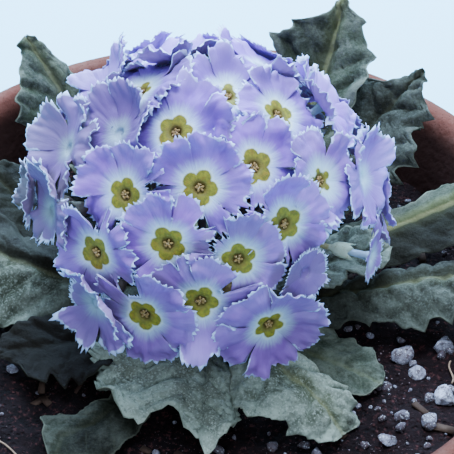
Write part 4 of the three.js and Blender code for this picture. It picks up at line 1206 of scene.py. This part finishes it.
def petal_grids(seat, node, own, reaches, sizes, gaps, frilled, start, rng):
    """Each petal's grid of places, as a radius and an angle, and how far each place is from the rim."""
    others = crowd_round(node, np.array([seat[0]]), NEAR_BLOOMS)
    rows = FUSED_ROWS + FREE_ROWS
    column = np.linspace(-1, 1, PETAL_COLUMNS + 1)
    radius, angle, rim = (np.zeros((PETALS, rows + 1, PETAL_COLUMNS + 1)) for _ in range(3))
    for petal in range(PETALS):
        edge = reaches[petal] * np.interp(np.abs(column), *zip(*EDGE_SHAPE))
        skew = rng.uniform(-0.05, 0.05)
        stray = np.array([noise.noise(Vector((2.2 * c, petal * 5, start))) for c in column])
        notch = rng.uniform(0, 0.05) * (1 - ease(np.abs(column - skew), 0, 0.16))
        edge *= sizes[petal] * (1 + skew * column + 0.07 * stray - notch)
        bearings = np.radians(PETAL_TURN / 2 * column + PETAL_TURN * petal)
        edge = short_of_others(seat, clear_of_hollows(seat, edge, bearings), bearings, own, others)
        tooth = np.array([rng.uniform(-0.6, -0.2) for _ in column])
        slide = np.zeros(len(column))
        for tip in range(1, PETAL_COLUMNS, TOOTH_EVERY):
            tip = min(PETAL_COLUMNS - 1, tip + rng.choice((0, 0, 1)))
            tooth[tip] = rng.uniform(0.3, 1.2) * (1 + 0.35 * frilled)
            tooth[tip + rng.choice((-1, 1))] = tooth[tip] * rng.uniform(0.1, 0.6)
            slide[tip] = rng.uniform(-0.6, 0.6) * 2 / PETAL_COLUMNS
        for row in range(rows + 1):
            if row <= FUSED_ROWS:
                share = row / FUSED_ROWS
                radius[petal, row] = THROAT + (SLIT - THROAT) * share**1.1
                half = np.full(len(column), PETAL_TURN / 2)
                near = 0
            else:
                share = (row - FUSED_ROWS) / FREE_ROWS
                out = 1 - (1 - share) ** 1.3
                near = max(0, (row - rows + 2) / 2)
                radius[petal, row] = SLIT + (edge - SLIT) * out + tooth * near**2
                gap = np.where(column > 0, gaps[petal], gaps[petal - 1])
                ragged = 0.5 * (row % 2) * ease(share, 0.3, 0.6)
                half = PETAL_TURN / 2 - (0.5 * gap * share + ragged + 0.25 * ease(share, 0, 0.2))
            angle[petal, row] = (column + slide * near) * half
            side = (1 - np.abs(column)) * np.radians(half) * radius[petal, row]
            side = side + 9 * (1 - ease(radius[petal, row], SLIT + 1, SLIT + 5))
            rim[petal, row] = np.minimum(np.maximum(edge - radius[petal, row], 0), side)
    return radius, angle, rim


def ruffled(across, outer, frilled, start):
    """The waves of the petals, which grow towards the rim, where they are finer."""
    ruffle = np.zeros(outer.shape)
    for index in np.ndindex(outer.shape):
        share = outer[index]
        place = Vector((1.9 * across[index] + 9 * index[0], 1.1 * share, start))
        ruffle[index] = 2.6 * share * noise.noise(place) + 2 * share**2 * noise.noise(place * 2.3)
        ruffle[index] += (0.9 + 1.3 * frilled) * share**4 * noise.noise(place * 5)
    return ruffle


def sewn_faces(shape):
    """The faces of the petals' grids, joined along each seam of the fused rows, and the points they use."""
    index = np.arange(math.prod(shape)).reshape(shape)
    for petal in range(PETALS):
        index[petal, : FUSED_ROWS + 1, -1] = index[(petal + 1) % PETALS, : FUSED_ROWS + 1, 0]
    corners = (index[:, :-1, :-1], index[:, 1:, :-1], index[:, 1:, 1:], index[:, :-1, 1:])
    faces = np.stack(corners, -1).reshape(-1, 4)
    used = np.unique(faces)
    renumber = np.zeros(index.size, int)
    renumber[used] = np.arange(len(used))
    return [tuple(face) for face in renumber[faces].tolist()], used


def make_heart(eye, axis, right, up, shut, rng):
    """The tube under the eye, with a cup at its mouth. In an open bloom anthers and pollen fill it."""
    heart = Heap()
    rings = TUBE[::-1] + CUP[::-1]
    tube = []
    for r, z in rings:
        for turn in np.linspace(0, 2 * math.pi, TUBE_SIDES, endpoint=False):
            tube.append(eye + axis * z + r * (right * math.cos(turn) + up * math.sin(turn)))
    heart.add(tube, ring_faces(len(rings), TUBE_SIDES, closed=True), 0.45 * shut)
    bead, bead_faces = ball(2)
    for n in range(0 if shut else PETALS):
        turn = 2 * math.pi * (n + 0.5) / PETALS + rng.uniform(-0.25, 0.25)
        out = right * math.cos(turn) + up * math.sin(turn)
        basis = np.array([out + 0.6 * axis, np.cross(axis, out), axis - 0.6 * out])
        spot = eye + out * rng.uniform(0.75, 1) - axis * rng.uniform(0.05, 0.35)
        heart.add(spot + (bead * ANTHER) @ basis, bead_faces, 0.7)
    for _ in range(0 if shut else GRAINS):
        turn = rng.uniform(0, 2 * math.pi)
        out = rng.uniform(0, 1.3)
        spot = eye + out * (right * math.cos(turn) + up * math.sin(turn)) - axis * rng.uniform(0, 0.35)
        heart.add(spot + bead * rng.uniform(0.14, 0.27), bead_faces, 1)
    return heart


def make_bloom(name, seat, rng):
    node = "bloom_" + name
    own = form_tree(node)
    reaches = petal_reaches(seat, node)
    gaps = [rng.choice(SEAM_GAPS) + rng.uniform(-0.4, 0.4) for _ in range(PETALS)]
    pitch = np.array([rng.choice(PITCHES) + rng.uniform(-0.6, 0.6) for _ in range(PETALS)])
    overs = np.sign(pitch - np.roll(pitch, -1))[:, None, None]
    start = rng.uniform(0, 50)
    eye_x, eye_y = seat[0][0], seat[0][1]
    frilled = max(ease(eye_y + rng.uniform(-8, 8), -14, 16), 0.8 * ease(abs(eye_x), 26, 44), name == "k")
    sizes = SMALL_BLOOMS.get(name, np.ones(PETALS))
    radius, angle, rim = petal_grids(seat, node, own, reaches, sizes, gaps, frilled, start, rng)
    shape = radius.shape
    across = np.broadcast_to(np.linspace(-1, 1, shape[2]), shape)
    turns = np.radians(angle + PETAL_TURN * np.arange(PETALS)[:, None, None])
    x, y = radius * np.cos(turns), radius * np.sin(turns)
    face = face_heights(seat, own, x, y)
    height = petal_evened(face, SMOOTHING)

    # The petals' own folds and frills, held back where a neighbour lies close.
    seam = np.abs(across)
    free = ease(radius, 4, 9)
    outer = ease(radius / reaches[:, None, None], 0.45, 1)
    each = lambda low, high: np.array([rng.uniform(low, high) for _ in range(PETALS)])[:, None, None]
    wanted = 0.2 * np.sin(math.pi * seam) * free - 0.22 * (1 - ease(seam, 0, 0.2)) * free
    wanted += pitch[:, None, None] * outer**2 + each(-2, 2) * across * outer
    wanted += each(-0.6, 2.2) * across**2 * outer**1.5
    front_x, front_y = (Vector(TO_CAMERA).dot(way) for way in (seat[2], seat[3]))
    forward = (x * front_x + y * front_y) / max(0.1, math.hypot(front_x, front_y)) / reaches[:, None, None]
    near_rise, far_rise = RAISED.get(name, (0, 0))
    far_lift = far_rise * np.maximum(0, -forward) ** 1.6
    wanted += near_rise * np.maximum(0, forward) ** 1.6 + far_lift
    wanted = (wanted + ruffled(across, outer, frilled, start)) * (0.5 if name.startswith("back") else 1)
    over = np.where(across > 0, overs, -np.roll(overs, 1))
    wanted += SEAM_LIFT * over * ease(seam, 0.5, 1) * ease(radius, SLIT, SLIT + 3)
    eye, axis, right, up = (np.array(v) for v in seat)
    flat = eye + x[..., None] * right + y[..., None] * up + face[..., None] * axis
    flat = flat.reshape(-1, 3)
    tree = crowd_round(node, flat, MOST_RUFFLE)
    above, below = (
        room_along(tree, flat, [way] * len(flat), MOST_RUFFLE).reshape(shape) for way in (axis, -axis)
    )
    headroom = (CEILING - flat[:, 2]).reshape(shape) / max(0.3, axis[2])
    above = np.minimum(above, np.maximum(0, headroom))
    rooms = (above + face - height, below + height - face)
    rooms = [petal_evened(np.maximum(0, room), 8, lowest=True) for room in rooms]
    height = height + held(wanted, *rooms)
    height = np.clip(height, face - below - 0.2, face + above + 0.2)
    height += 0.12 * (1 - ease(radius, 3, 5.2)) - 0.5 * (1 - ease(radius, 1.5, 2.6))
    # Painted shade falls where another petal lies close above, and along a petal's side that lies under its
    # neighbour at a seam.
    hidden_side = ease(seam, 0.72, 1) * (over < 0) * ease(radius, SLIT, SLIT + 3)
    covered = np.maximum(1 - ease(rooms[0], 0.4, 2.6), 0.8 * hidden_side)
    spread = np.broadcast_to(each(-0.35, 0.35), shape)

    # The star round the eye has a round lobe on each petal.
    centre, lobe = STAR_LOBE[0] + each(-0.12, 0.12), STAR_LOBE[1] + each(-0.1, 0.15)
    off = np.radians(angle + each(-2, 2))
    star = np.hypot(radius * np.cos(off) - centre, radius * np.sin(off)) - lobe
    shut = name in SHUT
    star = np.minimum(star, radius - STAR_CORE) + SMALL_STARS.get(name, 0) + 3 * shut
    less_meal = LESS_MEAL.get(name, SHUT_MEAL * shut)
    # Painted shade dulls the blooms low at the front of the head, and those in DIM.
    shade_dim = max(float(ease(-eye[1], 34, 48)), DIM.get(name, 0))

    faces, used = sewn_faces(shape)
    pick = lambda grid: grid.reshape(-1)[used]
    x, y, height, rim = (pick(grid) for grid in (x, y, height, rim))
    middle = eye + x[:, None] * right + y[:, None] * up + height[:, None] * axis
    half = PETAL_HALF * mix(0.45, 1, ease(rim, 0, 2.5))
    points, faces = thickened(middle, half, half, faces)
    count = len(points)
    given = {
        "radius": np.tile(pick(radius) + less_meal, 2),
        "across": np.tile(pick(across), 2),
        "rim": np.tile(rim, 2),
        "star": np.tile(pick(star), 2),
        "under": np.repeat([0, 1], len(middle)),
        "tone": np.tile(np.clip(0.5 + pick(spread) + rng.uniform(-0.15, 0.15), 0, 1), 2),
        "frill": np.full(count, float(frilled)),
        "low": np.full(count, shade_dim),
        "high": np.full(count, float(ease(eye[2], 176, 196))),
        "covered": np.tile(pick(covered), 2),
        "backlit": np.tile(pick(ease(far_lift, 1, 6)), 2),
    }

    heart = make_heart(eye, axis, right, up, shut, rng)
    finish = [0] * len(faces) + [int(not shut)] * len(heart.faces)
    faces = faces + [tuple(count + n for n in face) for face in heart.faces]
    points = np.concatenate([points, np.array(heart.points)])
    inside = {"radius": 3 + less_meal, "star": 9, "rim": 9, "low": shade_dim} if shut else {}
    for key in given:
        given[key] = np.concatenate([given[key], np.full(len(heart.points), inside.get(key, 0))])
    given["heart"] = np.concatenate([np.zeros(count), heart.tones])
    piece = make_piece("corolla_" + name, points, faces, [petal_skin, heart_skin], given, finish)
    settle(piece, "petal", node)


petal = Finish("petal", 0.55)
radius, across, rim, tone = (petal.given(key) for key in ("radius", "across", "rim", "tone"))
frill = petal.given("frill")
wide = petal.reckoned("ABSOLUTE", across)
apart = petal.times(tone, 90)
streaks = petal.vector(petal.times(across, 9), petal.times(radius, 0.3), apart)
streaks = petal.cloud(1, 3, streaks)
veins = petal.vector(petal.times(across, 24), petal.times(radius, 0.2), apart)
veins = petal.cloud(1, 2, veins)
soft = petal.cloud(120, 3)
lavender = petal.blend(petal.between(soft, 0.3, 0.7), "965abf", "ac72da")
lavender = petal.blend(petal.between(petal.cloud(55, 2), 0.4, 0.62), lavender, "a67ad4")
lavender = petal.blend(petal.times(petal.between(veins, 0.5, 0.68), 0.18), lavender, "7142ad")
lavender = petal.blend(petal.times(frill, 0.12), lavender, "c0aefc")
# Painted shade: the blooms high on the head, which face the sky lamp, take a deeper violet.
lavender = petal.blend(petal.times(petal.given("high"), 0.58), lavender, "7650b8")
lavender = petal.blend(petal.between(rim, 0.5, 3.5, 0.16, 0), lavender, "c4aef8")
lavender = petal.blend(petal.times(petal.given("backlit"), 0.75), lavender, "cdb0ff")
halo_edge = petal.plus(petal.times(streaks, 3), petal.times(wide, -0.8))
halo = petal.between(petal.minus(radius, halo_edge), 2.4, 8.1, 1, 0)
shown = petal.blend(halo, lavender, "cdf0ff")
# Painted shade in the crease down the middle of each petal.
crease_shade = petal.times(petal.between(wide, 0.0, 0.08, 0.12, 0), petal.between(radius, 5, 8))
shown = petal.blend(crease_shade, shown, "7850b0")
# Painted shade on covered petals and dulled blooms, with the darker tone that some petals have.
shade = petal.times(petal.given("covered"), 0.36)
shade = petal.plus(shade, petal.times(petal.given("low"), 0.3))
shown = petal.blend(petal.plus(shade, petal.between(tone, 0.5, 1, 0, 0.2)), shown, "5f584c")
ragged = petal.times(petal.cloud(900, 2), 0.8)
ragged = petal.plus(ragged, petal.times(petal.cloud(220, 2), 0.9))
margin = petal.minus(petal.plus(rim, ragged), petal.times(frill, 0.3))
margin = petal.between(margin, 0.8, 1.35, 0.95, 0)
shown = petal.blend(margin, shown, "c4daff")
edge = petal.plus(petal.given("star"), petal.times(petal.cloud(600, 2), 0.7))
shown = petal.blend(petal.between(edge, 0.2, 1.5, 0.55, 0), shown, "dfe8c4")
gold = petal.blend(petal.between(petal.cloud(900, 3), 0.3, 0.7), "6a6605", "94880a")
gold = petal.blend(petal.between(petal.cloud(700, 2), 0.54, 0.66, 0, 0.4), gold, "94680c")
gold = petal.blend(petal.between(radius, 1.6, 3.3, 0.85, 0), gold, "6e5c1c")
shown = petal.blend(petal.between(edge, 0.1, 0.6, 0.97, 0), shown, gold)
# The undersides are paler: their own colour, and painted light that shines through the thin petals.
shown = petal.blend(petal.times(petal.given("under"), 0.4), shown, "d1aed1")
petal_skin = petal.wear(shown, petal.dent(streaks, 0.12, under=petal.dent(petal.cloud(2200, 2), 0.05)))

pollen = Finish("eye", 0.7)
beads = pollen.between(pollen.given("heart"), 0.3, 0.6)
cream = pollen.blend(pollen.between(pollen.given("heart"), 0.75, 0.95), "a48350", "edc896")
cream = pollen.blend(pollen.cloud(2600, 2), cream, "907240")
heart_skin = pollen.wear(pollen.blend(beads, "6a562b", cream), pollen.dent(pollen.cloud(3000, 2), 0.08))
rng = random.Random(BLOOM_SEED)
for key, place in BLOOMS.items():
    make_bloom(key, seat_of(*place), rng)


# The floor, the light and the camera
# A pale floor under a broad, soft, cool sky light. The camera looks down at the front of the flower head,
# as the photographer did.
FLOOR_HALF = 4
CAMERA_TILT = 42.5
CAMERA_DISTANCE = 0.76
CAMERA_LENS = 204.9
AIM_RIGHT = 0.0065
AIM_DOWN = 0.0026

bpy.ops.mesh.primitive_plane_add(size=2 * FLOOR_HALF)
floor = bpy.context.object
floor.name = "floor"
ground = Finish("pale_floor", 0.8)
floor.data.materials.append(ground.wear(ground.blend(ground.cloud(3, 2), "aaeaff", "b2f0ff")))
floor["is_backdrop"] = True

world = bpy.data.worlds.new("pale_room")
world.use_nodes = True
world.node_tree.nodes["Background"].inputs["Color"].default_value = colour("c4e2ff")
world.node_tree.nodes["Background"].inputs["Strength"].default_value = 0.77
bpy.context.scene.world = world


def add_lamp(name, place, target, size, power, tint):
    lamp = bpy.data.lights.new(name, "AREA")
    lamp.shape = "DISK"
    lamp.size = size
    lamp.energy = power
    lamp.color = colour(tint)[:3]
    holder = bpy.data.objects.new(name, lamp)
    holder.location = place
    holder.rotation_euler = (Vector(target) - Vector(place)).to_track_quat("-Z", "Y").to_euler()
    bpy.context.scene.collection.objects.link(holder)


add_lamp("sky", (0.02, 0.15, 1.3), (0, 0, 0.15), 0.7, 31.5, "c6e0ff")
add_lamp("fill", (0.4, -1.1, 0.75), (0, 0, 0.12), 0.8, 7.5, "cae2ff")
add_lamp("floor_wash", (0, 0.75, 0.6), (0, 0.45, 0), 0.8, 50, "acd6ff")

tilt = math.radians(CAMERA_TILT)
head = HEAD_CENTRE * MM
aim = head + Vector((AIM_RIGHT, 0, 0)) - Vector((0, math.sin(tilt), math.cos(tilt))) * AIM_DOWN
camera = bpy.data.objects.new("camera", bpy.data.cameras.new("camera"))
camera.data.lens = CAMERA_LENS
camera.data.sensor_width = 36
camera.location = aim + Vector((0, -math.cos(tilt), math.sin(tilt))) * CAMERA_DISTANCE
camera.rotation_euler = (math.pi / 2 - tilt, 0, 0)
bpy.context.scene.collection.objects.link(camera)
bpy.context.scene.camera = camera

low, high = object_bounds()
